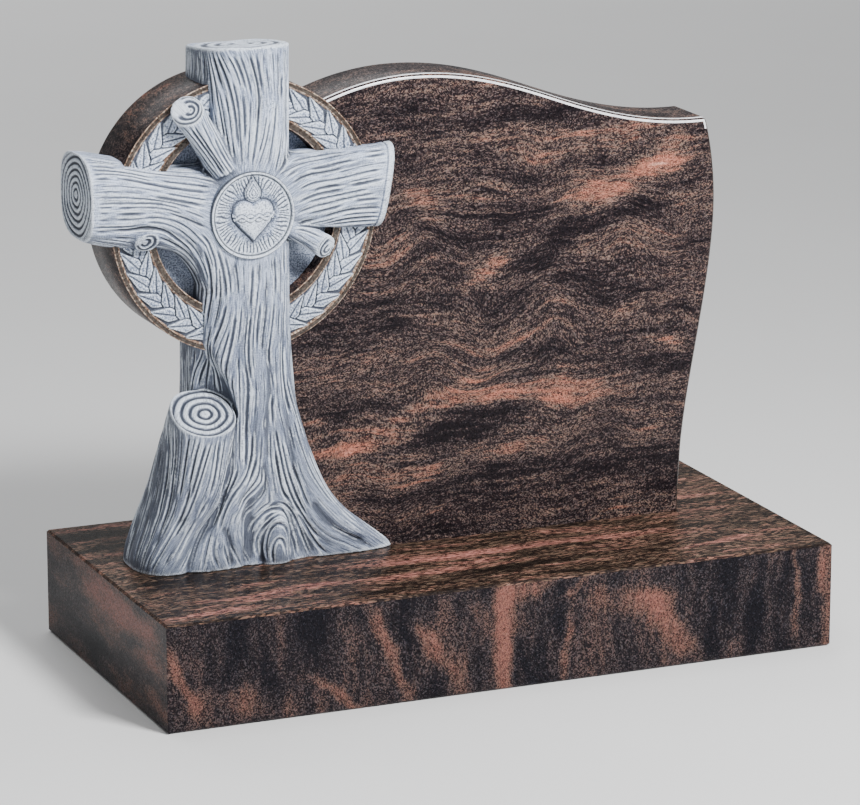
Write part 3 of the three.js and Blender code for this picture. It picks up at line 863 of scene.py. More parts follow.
def make_disc():
    """The ring's disc, its front stepped down by insets to the band and the recess."""
    depth = slab_back - ring_front
    bpy.ops.mesh.primitive_cylinder_add(
        vertices=160,
        radius=ring_radius * MM,
        depth=depth * MM,
        location=(cross_x * MM, (slab_back + ring_front) / 2 * MM, ring_z * MM),
        rotation=(math.pi / 2, 0, 0),
    )
    disc = bpy.context.object
    bpy.ops.object.transform_apply(location=True, rotation=True, scale=True)
    bpy.ops.object.mode_set(mode="EDIT")
    select_faces(disc, lambda face: face.normal.y < -0.9)
    bpy.ops.mesh.inset(thickness=outer_rim * MM, depth=0)
    bpy.ops.mesh.inset(thickness=ring_arris * MM, depth=-band_sunk * MM)
    bpy.ops.mesh.inset(thickness=(leaf_band - 2 * ring_arris) * MM, depth=0)
    bpy.ops.mesh.inset(thickness=ring_arris * MM, depth=band_sunk * MM)
    bpy.ops.mesh.inset(thickness=inner_rim * MM, depth=0)
    bpy.ops.mesh.inset(thickness=0.5 * MM, depth=-pocket_depth * MM)
    bpy.ops.object.mode_set(mode="OBJECT")
    modify(disc, "BEVEL", width=1.3 * MM, segments=2, angle_limit=math.radians(35))
    return disc


def make_slab():
    """Ring and tablet in one: the tablet gives way to the disc inside the ring."""
    tablet = make_tablet()
    bpy.ops.mesh.primitive_cylinder_add(
        vertices=64,
        radius=(ring_radius - 20) * MM,
        depth=0.4,
        location=(cross_x * MM, 0, ring_z * MM),
        rotation=(math.pi / 2, 0, 0),
    )
    core = bpy.context.object
    bpy.ops.object.transform_apply(location=True, rotation=True, scale=True)
    combine(tablet, [core], "DIFFERENCE")
    disc = make_disc()
    combine(tablet, [disc], "UNION")
    tablet.name = "ring_and_tablet"
    bpy.ops.object.shade_smooth_by_angle(angle=math.radians(32))
    return tablet


def make_leaves():
    """The band's relief, in which each lower leaf lies over the foot of the next one up."""
    low, high = ring_radius - outer_rim - leaf_band + 0.6, ring_radius - outer_rim - 0.6
    rows, sides = ((46, 1240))
    r, a = np.meshgrid(np.linspace(low, high, rows), 2 * np.pi * np.arange(sides) / sides, indexing="ij")
    x, z = r * np.cos(a), r * np.sin(a)
    rise = np.full(r.shape, -0.6)
    cut = np.ones(r.shape)
    crest = np.zeros(r.shape)
    middle, length, half, pairs = (low + high) / 2, 47.0, 13.0, 18
    reach, parting = 41, -12
    chance = random.Random(3)
    for side in (-1, 1):
        for pair in range(pairs, -1, -1):
            for row, splay, offset in ((-1, 0.6, 0.5), (1, 0.43, 0)):
                climb = math.pi * (pair + offset - 0.2) / pairs - math.pi / 2
                heading = climb + math.pi / 2 - row * (splay + chance.uniform(-0.03, 0.03))
                foot = (middle + row * 1.5) * math.cos(climb), (middle + row * 1.5) * math.sin(climb)
                dx, dz = side * x - foot[0], z - foot[1]
                along = dx * math.cos(heading) + dz * math.sin(heading)
                wide = -dx * math.sin(heading) + dz * math.cos(heading)
                from_tip = reach - along
                t = np.clip(from_tip / length, 0, 1)
                edge = half * np.minimum(1.18 * t**0.9, 1.3 * (1 - t) ** 0.45) + 0.05 - np.abs(wide)
                edge = np.where((from_tip > 0) & (from_tip < length), edge, -9)
                inside = edge > 0
                near = (edge > -1.0) & (side * x > parting) & ~inside
                rise = np.where(near, -0.7, rise)
                cut = np.where(near, 1.0, cut)
                crest = np.where(near, 0, crest)
                inside &= side * x > parting
                shoulder = smooth(edge, 0, 1.3)
                rib = np.exp(-((wide / 1.25) ** 2)) * smooth(from_tip, 3, 9) * smooth(along, -2, 4)
                to_middle = np.clip(1 - np.abs(wide) / half, 0, 1)
                height = 1.0 + 1.7 * np.clip(along / reach, 0, 1) + 1.2 * to_middle
                rise = np.where(inside, shoulder * height - 1.7 * rib - 0.7 * (1 - shoulder), rise)
                cut = np.where(inside, np.maximum(1 - shoulder, rib), cut)
                lip = np.exp(-(((edge - 1.9) / 0.9) ** 2))
                lip = lip + 0.7 * np.exp(-(((np.abs(wide) - 2.2) / 0.8) ** 2))
                crest = np.where(inside, np.clip(0.3 + 0.7 * lip, 0, 1) * (1 - rib), crest)
    y = ring_front + band_sunk - 1.6 - rise
    points = np.stack([cross_x + x, y, ring_z + z], -1).reshape(-1, 3)
    floor = ring_front + band_sunk + 2
    skirts = [np.stack([cross_x + x[n], np.full(sides, floor), ring_z + z[n]], -1) for n in (0, -1)]
    points = np.concatenate([points, *skirts])
    inner, outer = rows * sides, (rows + 1) * sides
    starts = [inner, *[row * sides for row in range(rows)], outer, inner]
    leaves = mesh_object("leaf_band", points, ring_faces(starts, sides))
    store(leaves, "cut", np.concatenate([cut.ravel(), np.ones(2 * sides)]))
    store(leaves, "crest", np.concatenate([crest.ravel(), np.ones(2 * sides)]))
    use(leaves)
    bpy.ops.object.shade_smooth_by_angle(angle=math.radians(60))
    return leaves


# Medallion.


def mirrored(line):
    """A whole outline from its right half."""
    return [tuple(p) for p in line] + [(-x, z) for x, z in line[1:-1]][::-1]


def polygon_distance(px, pz, outline):
    """How far each place is from an outline, positive inside it."""
    best = np.full(px.shape, 1e9)
    inside = np.zeros(px.shape, bool)
    for (ax, az), (bx, bz) in zip(outline, outline[1:] + outline[:1]):
        ex, ez = bx - ax, bz - az
        t = np.clip(((px - ax) * ex + (pz - az) * ez) / (ex * ex + ez * ez + 1e-9), 0, 1)
        best = np.minimum(best, np.hypot(px - ax - t * ex, pz - az - t * ez))
        crosses = (az > pz) != (bz > pz)
        with np.errstate(divide="ignore", invalid="ignore"):
            where = ax + (pz - az) * ex / (ez if ez else 1e-9)
        inside ^= crosses & (px < where)
    return np.where(inside, best, -best)


def heart_outline(width, height, z):
    def at(across, up):
        return across * width, z + up * height

    line = [at(0, -0.5)]
    line += bezier(line[-1], (at(0.12, -0.3), at(0.5, -0.06), at(0.5, 0.2)), 14)
    line += bezier(line[-1], (at(0.5, 0.42), at(0.36, 0.5), at(0.24, 0.5)), 10)
    line += bezier(line[-1], (at(0.12, 0.5), at(0.04, 0.45), at(0, 0.4)), 8)
    return mirrored(line)


def flame_outline(width, height, z):
    def at(across, up):
        return across * width, z + up * height

    line = [at(0, 0)]
    line += bezier(line[-1], (at(0.4, 0), at(0.6, 0.3), at(0.42, 0.5)), 10)
    line += bezier(line[-1], (at(0.28, 0.68), at(0.12, 0.8), at(0, 1)), 10)
    return mirrored(line)


def make_medallion():
    rings, sides = 96, 420
    radius = medallion_radius * (np.arange(1, rings + 1) / rings)
    angle = 2 * np.pi * np.arange(sides) / sides
    r, a = np.meshgrid(radius, angle, indexing="ij")
    x, z = r * np.cos(a), r * np.sin(a)
    share = r / medallion_radius
    rise = np.full(r.shape, 0.6)
    cut = np.zeros(r.shape)
    crest = np.zeros(r.shape)
    # Rays: short cuts that spread from the heart, a little wavy and of uneven length.
    rays = 60
    sway = 0.035 * np.sin(share * 9 + 4 * np.sin(3 * a)) + 0.02 * np.sin(7 * a)
    phase = rays * (a + sway) / (2 * np.pi)
    line = np.abs((phase % 1) - 0.5) * 2
    number = np.floor(phase).astype(int) % rays
    chance = np.random.default_rng(5)
    inner = chance.uniform(0.46, 0.62, rays)[number]
    outer = chance.uniform(0.87, 0.91, rays)[number]
    width = 0.4 + 0.25 * (share - 0.6)
    ray = smooth(line, width - 0.04, 0.9) * smooth(share, inner - 0.02, inner + 0.1)
    ray *= 1 - smooth(share, outer - 0.05, outer + 0.01)
    cut = np.maximum(cut, ray)
    rise -= 1.0 * ray
    crest = np.maximum(crest, 0.75 * (1 - ray) * smooth(share, 0.5, 0.7))
    # Border: a plain raised hoop between two thin cuts.
    hoop = smooth(share, 0.925, 0.945) * (1 - smooth(share, 0.985, 1.0))
    rise += 2.1 * hoop
    rim = smooth(share, 0.885, 0.905) * (1 - smooth(share, 0.925, 0.94))
    cut = np.maximum(cut, np.maximum(0.95 * rim, smooth(share, 0.97, 0.99)))
    rise -= 0.8 * rim
    crest = np.maximum(crest, 0.95 * hoop)
    # Heart and flame stand up from the field, each in a dark cut.
    heart_z = -0.13 * medallion_radius
    heart = polygon_distance(x, z, heart_outline(heart_width * 0.96, heart_height, heart_z))
    dome = np.sqrt(np.clip(1 - (1 - np.clip(heart / 16, 0, 1)) ** 2, 0, 1))
    cleft = np.exp(-((x / 2.4) ** 2))
    cleft = cleft * smooth(z, heart_z + 0.22 * heart_height, heart_z + 0.42 * heart_height)
    rise = np.where(heart > 0, 1.4 + 5.2 * dome - 2.2 * cleft, rise)
    moat = np.exp(-(((heart + 1.4) / 1.5) ** 2)) * (heart < 0.6)
    # Painted shadow: a soft dark halo round the heart, put into the cut marks though nothing is cut there.
    shade = 0.62 * np.exp(-(((heart + 2) / 6.5) ** 2)) * (heart < 0)
    cut = np.where(heart > 0, 0, np.maximum(cut * smooth(-heart, 2.5, 7), np.maximum(moat, shade)))
    rise -= 1.6 * moat
    crest = np.where(heart > 1.0, 0.35 + 0.4 * dome, crest)
    flame_z = heart_z + 0.47 * heart_height
    flame = polygon_distance(x, z, flame_outline(24, 35, flame_z))
    nested = np.abs(((flame / 3.4 + 0.5) % 1) - 0.5) * 2
    lines = smooth(nested, 0.5, 0.95) * (flame > 1.4)
    fire = np.where(flame > 0, 1.0 + 3.6 * np.sqrt(np.clip(flame / 8, 0, 1)) - 1.1 * lines, 0)
    on_flame = (flame > 0) & (fire > rise)
    rise = np.where(on_flame, fire, rise)
    cut = np.where(on_flame, 0.85 * lines, cut)
    crest = np.where(on_flame, 0.7 * (1 - lines), crest)
    ditch = np.exp(-(((flame + 1.3) / 1.4) ** 2)) * (flame < 0.4) * (heart < 0)
    cut = np.maximum(cut, ditch)
    rise -= 1.3 * ditch
    # Thorn band: two strands twisted over the heart.
    band_z = heart_z + 0.1 * heart_height
    for way in (-1, 1):
        swing = way * np.sin(x / heart_width * 5 * np.pi)
        away = np.abs(z - band_z - 3.1 * swing + 0.8 * np.cos(x / 13))
        ride_up = 0.8 + 0.55 * way * np.cos(x / heart_width * 5 * np.pi)
        strand = np.sqrt(np.clip(1 - (away / 2.3) ** 2, 0, 1)) * (heart > -1.5)
        top = np.where(strand > 0, 1.4 + 5.2 * dome + (1.3 + ride_up) * strand, 0)
        over = (strand > 0.05) & (top > rise)
        edge = np.exp(-(((away - 2.9) / 0.7) ** 2)) * (heart > 0.5) * ~over
        cut = np.maximum(cut, 0.95 * edge)
        rise -= 0.6 * edge
        rise = np.where(over, top, rise)
        cut = np.where(over, 0, cut)
        crest = np.where(over, 0.9 * strand, crest)
    y = medallion_front - rise + 1.2
    y[-1] = medallion_front + 1.5
    points = np.stack([cross_x + x, y, medallion_z + z], -1).reshape(-1, 3)
    skirt = np.stack([cross_x + x[-1], np.full(sides, tree_front + 6.0), medallion_z + z[-1]], -1)
    centre = np.array([[cross_x, medallion_front - float(rise[0].mean()) + 1.2, medallion_z]])
    points = np.concatenate([points, skirt, centre])
    faces = ring_faces([row * sides for row in range(rings + 1)], sides)
    tip = (rings + 1) * sides
    faces += [(k, tip, (k + 1) % sides) for k in range(sides)]
    faces.append(tuple(range(rings * sides, tip)))
    medallion = mesh_object("medallion", points, faces)
    store(medallion, "cut", np.concatenate([cut.ravel(), np.zeros(sides + 1)]))
    store(medallion, "crest", np.concatenate([crest.ravel(), np.zeros(sides + 1)]))
    use(medallion)
    bpy.ops.object.shade_smooth_by_angle(angle=math.radians(55))
    return medallion


# Materials.


class Finish:
    """A material under way: its nodes, its links and its shader."""

    def __init__(self, name):
        self.material = bpy.data.materials.new(name)
        self.material.use_nodes = True
        self.tree = self.material.node_tree
        self.shader = self.tree.nodes["Principled BSDF"]
        self.place = self.tree.nodes.new("ShaderNodeTexCoord").outputs["Object"]

    def node(self, kind, settings=None, **inputs):
        node = self.tree.nodes.new(kind)
        for name, value in (settings or {}).items():
            setattr(node, name, value)
        for name, value in inputs.items():
            socket = node.inputs[int(name[1:])] if name[0] == "_" else node.inputs[name.replace("_", " ")]
            if hasattr(value, "is_linked"):
                self.tree.links.new(value, socket)
            else:
                socket.default_value = value
        return node

    def math(self, operation, a, b=0.0):
        return self.node("ShaderNodeMath", {"operation": operation}, _0=a, _1=b).outputs[0]

    def plus(self, a, b):
        return self.math("ADD", a, b)

    def times(self, a, b):
        return self.math("MULTIPLY", a, b)

    def swing(self, value, amount):
        """A value's distance from one half, made larger or smaller."""
        return self.times(self.math("SUBTRACT", value, 0.5), amount)

    def vector(self, operation, a, b):
        return self.node("ShaderNodeVectorMath", {"operation": operation}, _0=a, _1=b).outputs[0]

    def scaled(self, vector, amount):
        return self.node("ShaderNodeVectorMath", {"operation": "SCALE"}, _0=vector, Scale=amount).outputs[0]

    def split(self, vector):
        return self.node("ShaderNodeSeparateXYZ", Vector=vector).outputs

    def normal(self):
        """The surface's direction, as x, y and z."""
        return self.split(self.node("ShaderNodeNewGeometry").outputs["Normal"])

    def mapped(self, vector, scale, turn=(0, 0, 0)):
        return self.node("ShaderNodeMapping", Vector=vector, Scale=scale, Rotation=turn).outputs[0]

    def noise(self, vector, scale, detail=3.0, rough=0.5):
        return self.node("ShaderNodeTexNoise", Vector=vector, Scale=scale, Detail=detail, Roughness=rough)

    def grade(self, value, low, high, start=0.0, end=1.0):
        node = self.node("ShaderNodeMapRange", {"interpolation_type": "SMOOTHSTEP"}, Value=value)
        for name, number in (("From Min", low), ("From Max", high), ("To Min", start), ("To Max", end)):
            node.inputs[name].default_value = number
        return node.outputs[0]

    def ramp(self, value, stops):
        node = self.node("ShaderNodeValToRGB", Fac=value)
        stripes = node.color_ramp.elements
        while len(stripes) < len(stops):
            stripes.new(0.5)
        for stripe, (place, colour) in zip(stripes, stops):
            stripe.position = place
            stripe.color = (*linear(colour), 1)
        return node.outputs[0]

    def mix(self, share, a, b, blend="MIX"):
        node = self.node("ShaderNodeMix", {"data_type": "RGBA", "blend_type": blend})
        for socket, value in ((node.inputs[0], share), (node.inputs[6], a), (node.inputs[7], b)):
            if hasattr(value, "is_linked"):
                self.tree.links.new(value, socket)
            elif isinstance(value, tuple):
                socket.default_value = (*linear(value), 1)
            else:
                socket.default_value = value
        return node.outputs[2]

    def attribute(self, name):
        return self.node("ShaderNodeAttribute", {"attribute_name": name}).outputs["Fac"]

    def bump(self, height, strength, distance):
        return self.node("ShaderNodeBump", Height=height, Strength=strength, Distance=distance).outputs[0]

    def finish(self, colour, roughness, normal=None):
        self.tree.links.new(colour, self.shader.inputs["Base Color"])
        if hasattr(roughness, "is_linked"):
            self.tree.links.new(roughness, self.shader.inputs["Roughness"])
        else:
            self.shader.inputs["Roughness"].default_value = roughness
        if normal is not None:
            self.tree.links.new(normal, self.shader.inputs["Normal"])
        return self.material


def linear(colour):
    return tuple(c / 12.92 if c <= 0.04045 else ((c + 0.055) / 1.055) ** 2.4 for c in colour)


# Tones of the carved stone, from its cuts to its crests, with painted shade for faces turned away, for hollows and
# towards the bottom, and its plain shades by the noise that picks them.
CUT = (0.13, 0.145, 0.19)
# Painted shade on faces turned away from the front and from above.
AWAY_SHADE = (0.19, 0.205, 0.25)
# Painted shade in the hollows of the skin.
HOLLOW_SHADE = (0.22, 0.235, 0.28)
# Painted shade towards the bottom of the stone.
LOW_SHADE = (0.28, 0.3, 0.36)
SPECK = (0.36, 0.39, 0.45)
CREST = (0.92, 0.955, 1.0)
SILVER = [
    (0.3, (0.39, 0.435, 0.53)),
    (0.47, (0.59, 0.635, 0.735)),
    (0.65, (0.82, 0.87, 0.96)),
]


def darkened(shades, dark):
    return [(at, [dark * v for v in shade]) for at, shade in shades]


def streaks(f):
    """Fine noise drawn out along the bark's grain: the mean of seven samples on a line."""
    along = f.node("ShaderNodeAttribute", {"attribute_name": "grain"}).outputs["Vector"]
    total = None
    for step in (-6.6, -4.4, -2.2, 0, 2.2, 4.4, 6.6):
        value = f.noise(f.vector("ADD", f.place, f.scaled(along, step * MM)), 640, 1, 0.5).outputs[0]
        total = value if total is None else f.plus(total, value)
    return f.grade(f.times(total, 1 / 7), 0.42, 0.58)


def carved_stone(name, streaked=False, recess=False):
    """Carved granite, toned silver: dark in the cuts, brushed pale on the crests, with painted shade towards the
    bottom, on faces turned away and in hollows. A recess is plain and a little darker.
    """
    f = Finish(name)
    cloud = f.noise(f.place, 11, 4, 0.6).outputs[0]
    grit = f.noise(f.place, 520, 2, 0.6).outputs[0]
    pits = f.noise(f.place, 330, 2, 0.7).outputs[0]
    streak = streaks(f) if streaked else f.grade(grit, 0.35, 0.65)
    tone = f.plus(f.times(cloud, 0.45), f.times(streak, 0.4))
    tone = f.plus(tone, f.times(grit, 0.15))
    colour = f.ramp(tone, darkened(SILVER, 0.85 if recess else 1.0))
    if not recess:
        crest, cut, hollow = f.attribute("crest"), f.attribute("cut"), f.attribute("hollow")
        height = f.split(f.place)[2]
        # Painted shade: the stone is darkened towards the bottom, where less light reaches.
        colour = f.mix(f.grade(height, 0.3, 0.72, 0.46, 0), colour, LOW_SHADE)
        # Painted shade: faces that turn away from the front and from above are darkened, and faces that look to
        # the front or up are the brightest.
        normal = f.normal()
        facing = f.math("MAXIMUM", f.times(normal[1], -1), f.times(normal[2], 0.9))
        facing = f.plus(facing, f.times(normal[2], 0.28))
        colour = f.mix(f.grade(facing, 0.25, 0.97, 0.68, 0), colour, AWAY_SHADE)
        # Painted shade in the hollows of the skin.
        colour = f.mix(f.grade(hollow, 0, 1, 0, 0.72), colour, HOLLOW_SHADE)
        brushed = f.times(crest, f.grade(f.plus(streak, cloud), 0.5, 1.2, 0.45, 1.0))
        colour = f.mix(f.grade(brushed, 0.12, 0.85, 0, 0.92), colour, CREST)
        colour = f.mix(f.times(f.grade(pits, 0.6, 0.72), 0.4), colour, SPECK)
        colour = f.mix(f.grade(cut, 0.12, 1.0, 0, 0.88), colour, CUT)
    relief = f.plus(f.times(grit, 0.4), f.times(streak, 0.6 if streaked else 0.2))
    f.shader.inputs["Specular IOR Level"].default_value = 0.35
    return f.finish(colour, f.grade(grit, 0.3, 0.7, 0.5, 0.66), f.bump(relief, 0.5, 0.0006))


def patches(f, vector, spots):
    """Soft ovals where the vein runs rich: middle, half sizes, turn about the face's axis, strength."""
    total = None
    for middle, half, turn, strength in spots:
        oval = f.node(
            "ShaderNodeMapping",
            {"vector_type": "TEXTURE"},
            Vector=vector,
            Location=[v * MM for v in middle],
            Rotation=turn,
            Scale=[v * MM for v in half],
        ).outputs[0]
        ball = f.node("ShaderNodeTexGradient", {"gradient_type": "SPHERICAL"}, Vector=oval).outputs["Fac"]
        value = f.times(f.grade(ball, 0.0, 0.8), strength)
        total = value if total is None else f.plus(total, value)
    return total


def warped(f, scale, amount, detail=3):
    """The places of the stone, pushed about by noise so that its veins wander."""
    noise = f.noise(f.place, scale, detail).outputs["Color"]
    return f.vector("ADD", f.place, f.scaled(f.vector("SUBTRACT", noise, (0.5, 0.5, 0.5)), amount))


def crystals(f, vector, size):
    """The stone's grains: each its own shade, with size the cells to a metre along x, y and z."""
    grain = f.node("ShaderNodeTexVoronoi", {"feature": "F1"}, Vector=f.mapped(vector, size), Scale=1.0)
    return f.node("ShaderNodeSeparateColor", Color=grain.outputs["Color"]).outputs


def swirled(f, vector, whirls):
    """Turn the streaks about a few places: x and z, reach in millimetres and turn at the middle."""
    for x, z, reach, turn in whirls:
        ball = patches(f, vector, [((x, 0, z), (reach, whole_depth, reach), (0, 0, 0), 1.0)])
        angle = f.times(f.times(ball, ball), turn)
        vector = f.node(
            "ShaderNodeVectorRotate",
            {"rotation_type": "Y_AXIS"},
            Vector=vector,
            Center=(x * MM, 0, z * MM),
            Angle=angle,
        ).outputs[0]
    return vector


GRAIN_TINTS = [
    (0, (0.5, 0.5, 0.44)),
    (0.35, (0.46, 0.5, 0.52)),
    (0.65, (0.52, 0.46, 0.47)),
    (1, (0.56, 0.47, 0.43)),
]


def mixed_grains(f, value, grain, darks, lights):
    """Dark and light grains mixed: the richer the vein, the more light ones and the warmer both."""
    share = f.grade(f.plus(grain[0], f.swing(value, 0.9)), 0.36, 0.72)
    colour = f.mix(share, f.ramp(value, darks), f.ramp(value, lights))
    shade = f.grade(grain[1], 0, 1, 0.66, 1.34)
    shades = f.node("ShaderNodeCombineColor", Red=shade, Green=shade, Blue=shade).outputs[0]
    colour = f.mix(1.0, colour, shades, "MULTIPLY")
    return f.mix(0.6, colour, f.ramp(grain[2], GRAIN_TINTS), "SOFT_LIGHT")


# A patch reaches past its given size and fades, so it is drawn wider and weaker than it is named.
patch_spread, patch_strength = 1.35, 0.8
whole_depth = 5000


def oval(x, z, long, tall, slope, strength):
    """A patch on a face that looks to the front."""
    half = (long * patch_spread, whole_depth, tall * patch_spread)
    return (x, 0, z), half, (0, -math.radians(slope), 0), strength * patch_strength


TABLET_SPOTS = [
    oval(245, 628, 62, 34, 10, 0.32),
    oval(340, 655, 52, 20, 12, 0.34),
    oval(280, 640, 120, 22, 22, 0.22),
    oval(358, 692, 40, 14, 20, 0.22),
    oval(62, 528, 42, 18, 22, 0.42),
    oval(-22, 634, 44, 22, -30, 0.24),
    oval(130, 512, 80, 9, 8, 0.24),
    oval(-140, 302, 90, 26, 2, 0.34),
    oval(-10, 345, 130, 20, 22, 0.3),
    oval(92, 352, 46, 18, 5, 0.32),
    oval(190, 345, 90, 26, 4, 0.34),
    oval(345, 404, 46, 8, -4, 0.3),
    oval(-190, 338, 20, 9, -5, 0.35),
    oval(110, 270, 60, 16, 15, 0.2),
    oval(-40, 238, 60, 12, 20, 0.22),
    oval(60, 318, 110, 22, 14, -0.3),
    oval(150, 545, 70, 26, 30, -0.28),
    oval(200, 225, 260, 26, 3, -0.2),
    oval(-90, 480, 160, 24, 4, -0.16),
    oval(250, 585, 110, 14, 20, -0.16),
    oval(290, 470, 150, 30, 4, -0.14),
]
WHIRLS = [
    (130, 460, 130, 0.55),
    (30, 395, 100, -0.6),
    (-50, 570, 110, 0.5),
    (310, 560, 100, -0.35),
    (215, 290, 110, 0.3),
    (180, 650, 90, 0.4),
]
TABLET_DARKS = [
    (0.1, (0.12, 0.105, 0.12)),
    (0.5, (0.19, 0.16, 0.17)),
    (0.75, (0.36, 0.245, 0.225)),
    (1, (0.56, 0.39, 0.35)),
]
TABLET_LIGHTS = [
    (0.08, (0.27, 0.24, 0.255)),
    (0.3, (0.4, 0.35, 0.345)),
    (0.5, (0.5, 0.425, 0.39)),
    (0.66, (0.6, 0.45, 0.395)),
    (0.82, (0.7, 0.47, 0.4)),
    (1.0, (0.76, 0.59, 0.53)),
]


def tablet_granite(name):
    """Blue black with salmon veins that rise to the right, from broad clouds down to threads."""
    f = Finish(name)
    slope = (0, -0.2, 0)
    bent = swirled(f, warped(f, 6, 0.06), WHIRLS)
    veins = f.noise(f.mapped(bent, (3.6, 9, 17), slope), 1, 6, 0.64).outputs[0]
    thread = f.noise(f.mapped(bent, (9, 30, 120), slope), 1, 3, 0.6).outputs[0]
    rich = patches(f, warped(f, 14, 0.035), TABLET_SPOTS)
    fine = f.noise(f.mapped(bent, (34, 60, 230), slope), 1, 3, 0.65).outputs[0]
    value = f.plus(f.grade(veins, 0.3, 0.7, 0.14, 0.54), rich)
    value = f.plus(value, f.swing(thread, 0.8))
    value = f.plus(value, f.swing(fine, 0.7))
    grain = crystals(f, bent, (560, 600, 740))
    colour = mixed_grains(f, value, grain, TABLET_DARKS, TABLET_LIGHTS)
    f.shader.inputs["Specular IOR Level"].default_value = 0.06
    return f.finish(colour, f.grade(grain[2], 0, 1, 0.26, 0.36))


# On the base, streaks run along its top, and bands stand in its front and its left side.
TOP_SPOTS = [
    ((60, -95, 0), (330, 24, whole_depth), (0, 0, 0.02), 0.3),
    ((-330, -180, 0), (240, 28, whole_depth), (0, 0, 0.32), 0.26),
    ((-60, -150, 0), (220, 26, whole_depth), (0, 0, 0.25), 0.2),
    ((380, -170, 0), (150, 16, whole_depth), (0, 0, 0.18), 0.24),
    ((20, -175, 0), (120, 20, whole_depth), (0, 0, 0.05), -0.22),
    ((-150, -215, 0), (120, 16, whole_depth), (0, 0, 0.1), -0.24),
    ((-420, -60, 0), (90, 60, whole_depth), (0, 0, 0.1), -0.12),
]
FRONT_SPOTS = [
    oval(-8, 60, 18, 110, 4, 0.62),
    oval(28, 138, 60, 17, 22, 0.5),
    oval(86, 45, 10, 60, -12, 0.4),
    oval(96, 128, 34, 9, 40, 0.3),
    oval(178, 108, 80, 22, -8, 0.34),
    oval(248, 52, 22, 88, 38, 0.48),
    oval(438, 85, 7, 90, 0, 0.5),
    oval(487, 80, 18, 110, 2, 0.62),
    oval(-182, 90, 12, 110, 22, 0.44),
    oval(-118, 78, 14, 60, 38, 0.4),
    oval(-250, 22, 9, 60, 52, 0.4),
    oval(-470, 68, 12, 90, 28, 0.42),
    oval(-380, 30, 110, 28, -12, 0.26),
    oval(-60, 70, 60, 120, 0, 0.14),
    oval(195, 40, 55, 70, 10, 0.16),
]
SIDE_SPOTS = [
    ((0, -60, 118), (whole_depth, 250, 34), (0.06, 0, 0), 0.42),
    ((0, -190, 80), (whole_depth, 120, 18), (-0.1, 0, 0), 0.26),
    ((0, 90, 50), (whole_depth, 150, 42), (0, 0, 0), -0.2),
    ((0, 180, 130), (whole_depth, 110, 22), (0, 0, 0), 0.22),
]
TOP_DARKS = [
    (0.1, (0.12, 0.1, 0.09)),
    (0.5, (0.2, 0.155, 0.14)),
    (0.9, (0.46, 0.3, 0.28)),
]
TOP_LIGHTS = [
    (0.1, (0.35, 0.3, 0.25)),
    (0.4, (0.5, 0.41, 0.35)),
    (0.6, (0.64, 0.47, 0.42)),
    (0.9, (0.76, 0.54, 0.5)),
]
UPRIGHT_DARKS = [
    (0.1, (0.1, 0.098, 0.12)),
    (0.5, (0.16, 0.14, 0.15)),
    (0.75, (0.25, 0.18, 0.17)),
    (1, (0.36, 0.235, 0.215)),
]
UPRIGHT_LIGHTS = [
    (0.1, (0.22, 0.215, 0.245)),
    (0.35, (0.33, 0.295, 0.3)),
    (0.6, (0.44, 0.35, 0.32)),
    (0.9, (0.53, 0.375, 0.34)),
]


def base_granite(name):
    f = Finish(name)
    normal = f.normal()
    upward = f.grade(normal[2], 0.5, 0.8)
    sideways = f.grade(f.math("ABSOLUTE", normal[0]), 0.5, 0.8)
    bent = warped(f, 6, 0.05)
    # Top: olive black, tan and rose, drawn out along the base.
    streak = f.noise(f.mapped(bent, (5, 42, 42), (0, 0, -0.12)), 1, 6, 0.62).outputs[0]
    value = f.plus(f.grade(streak, 0.3, 0.7, 0.1, 0.6), patches(f, warped(f, 12, 0.02), TOP_SPOTS))
    top = mixed_grains(f, value, crystals(f, bent, (130, 560, 560)), TOP_DARKS, TOP_LIGHTS)
    # Front and sides: blue black with rose bands.
    grain = crystals(f, bent, (700, 640, 600))
    upright = f.noise(f.mapped(bent, (26, 26, 7)), 1, 5, 0.6).outputs[0]
    bands = patches(f, warped(f, 16, 0.045, 5), FRONT_SPOTS)
    value = f.plus(f.grade(upright, 0.32, 0.7, 0.08, 0.5), bands)
    front = mixed_grains(f, value, grain, UPRIGHT_DARKS, UPRIGHT_LIGHTS)
    lying = f.noise(f.mapped(bent, (26, 7, 30)), 1, 5, 0.6).outputs[0]
    bands = patches(f, warped(f, 9, 0.05), SIDE_SPOTS)
    value = f.plus(f.grade(lying, 0.3, 0.7, 0.22, 0.7), bands)
    side = mixed_grains(f, value, grain, UPRIGHT_DARKS, UPRIGHT_LIGHTS)
    colour = f.mix(upward, f.mix(sideways, front, side), top)
    f.shader.inputs["Specular IOR Level"].default_value = 0.06
    return f.finish(colour, f.grade(grain[2], 0, 1, 0.26, 0.38))


def arris_highlight_stone(name):
    """The polished arris, painted near white as the highlight that it catches: a pale line."""
    f = Finish(name)
    grain = crystals(f, f.place, (300, 300, 300))
    colour = f.ramp(grain[0], [(0, (0.88, 0.88, 0.9)), (0.5, (0.96, 0.96, 0.97)), (1, (1, 1, 1))])
    return f.finish(colour, f.grade(grain[1], 0, 1, 0.15, 0.25))


def rim_stone(name, dark=1.0):
    """Tan granite of the ring's rims. At full strength it is the painted highlight on their rounded edges;
    darkened, it is the flat rims' own tan and a dim painted highlight down the tablet's right chamfer.
    """
    f = Finish(name)
    grain = crystals(f, f.place, (420, 420, 420))
    shades = (0, (0.33, 0.24, 0.19)), (0.5, (0.54, 0.43, 0.36)), (1, (0.82, 0.74, 0.66))
    colour = f.ramp(grain[0], darkened(shades, dark))
    return f.finish(colour, f.grade(grain[1], 0, 1, 0.25, 0.4))


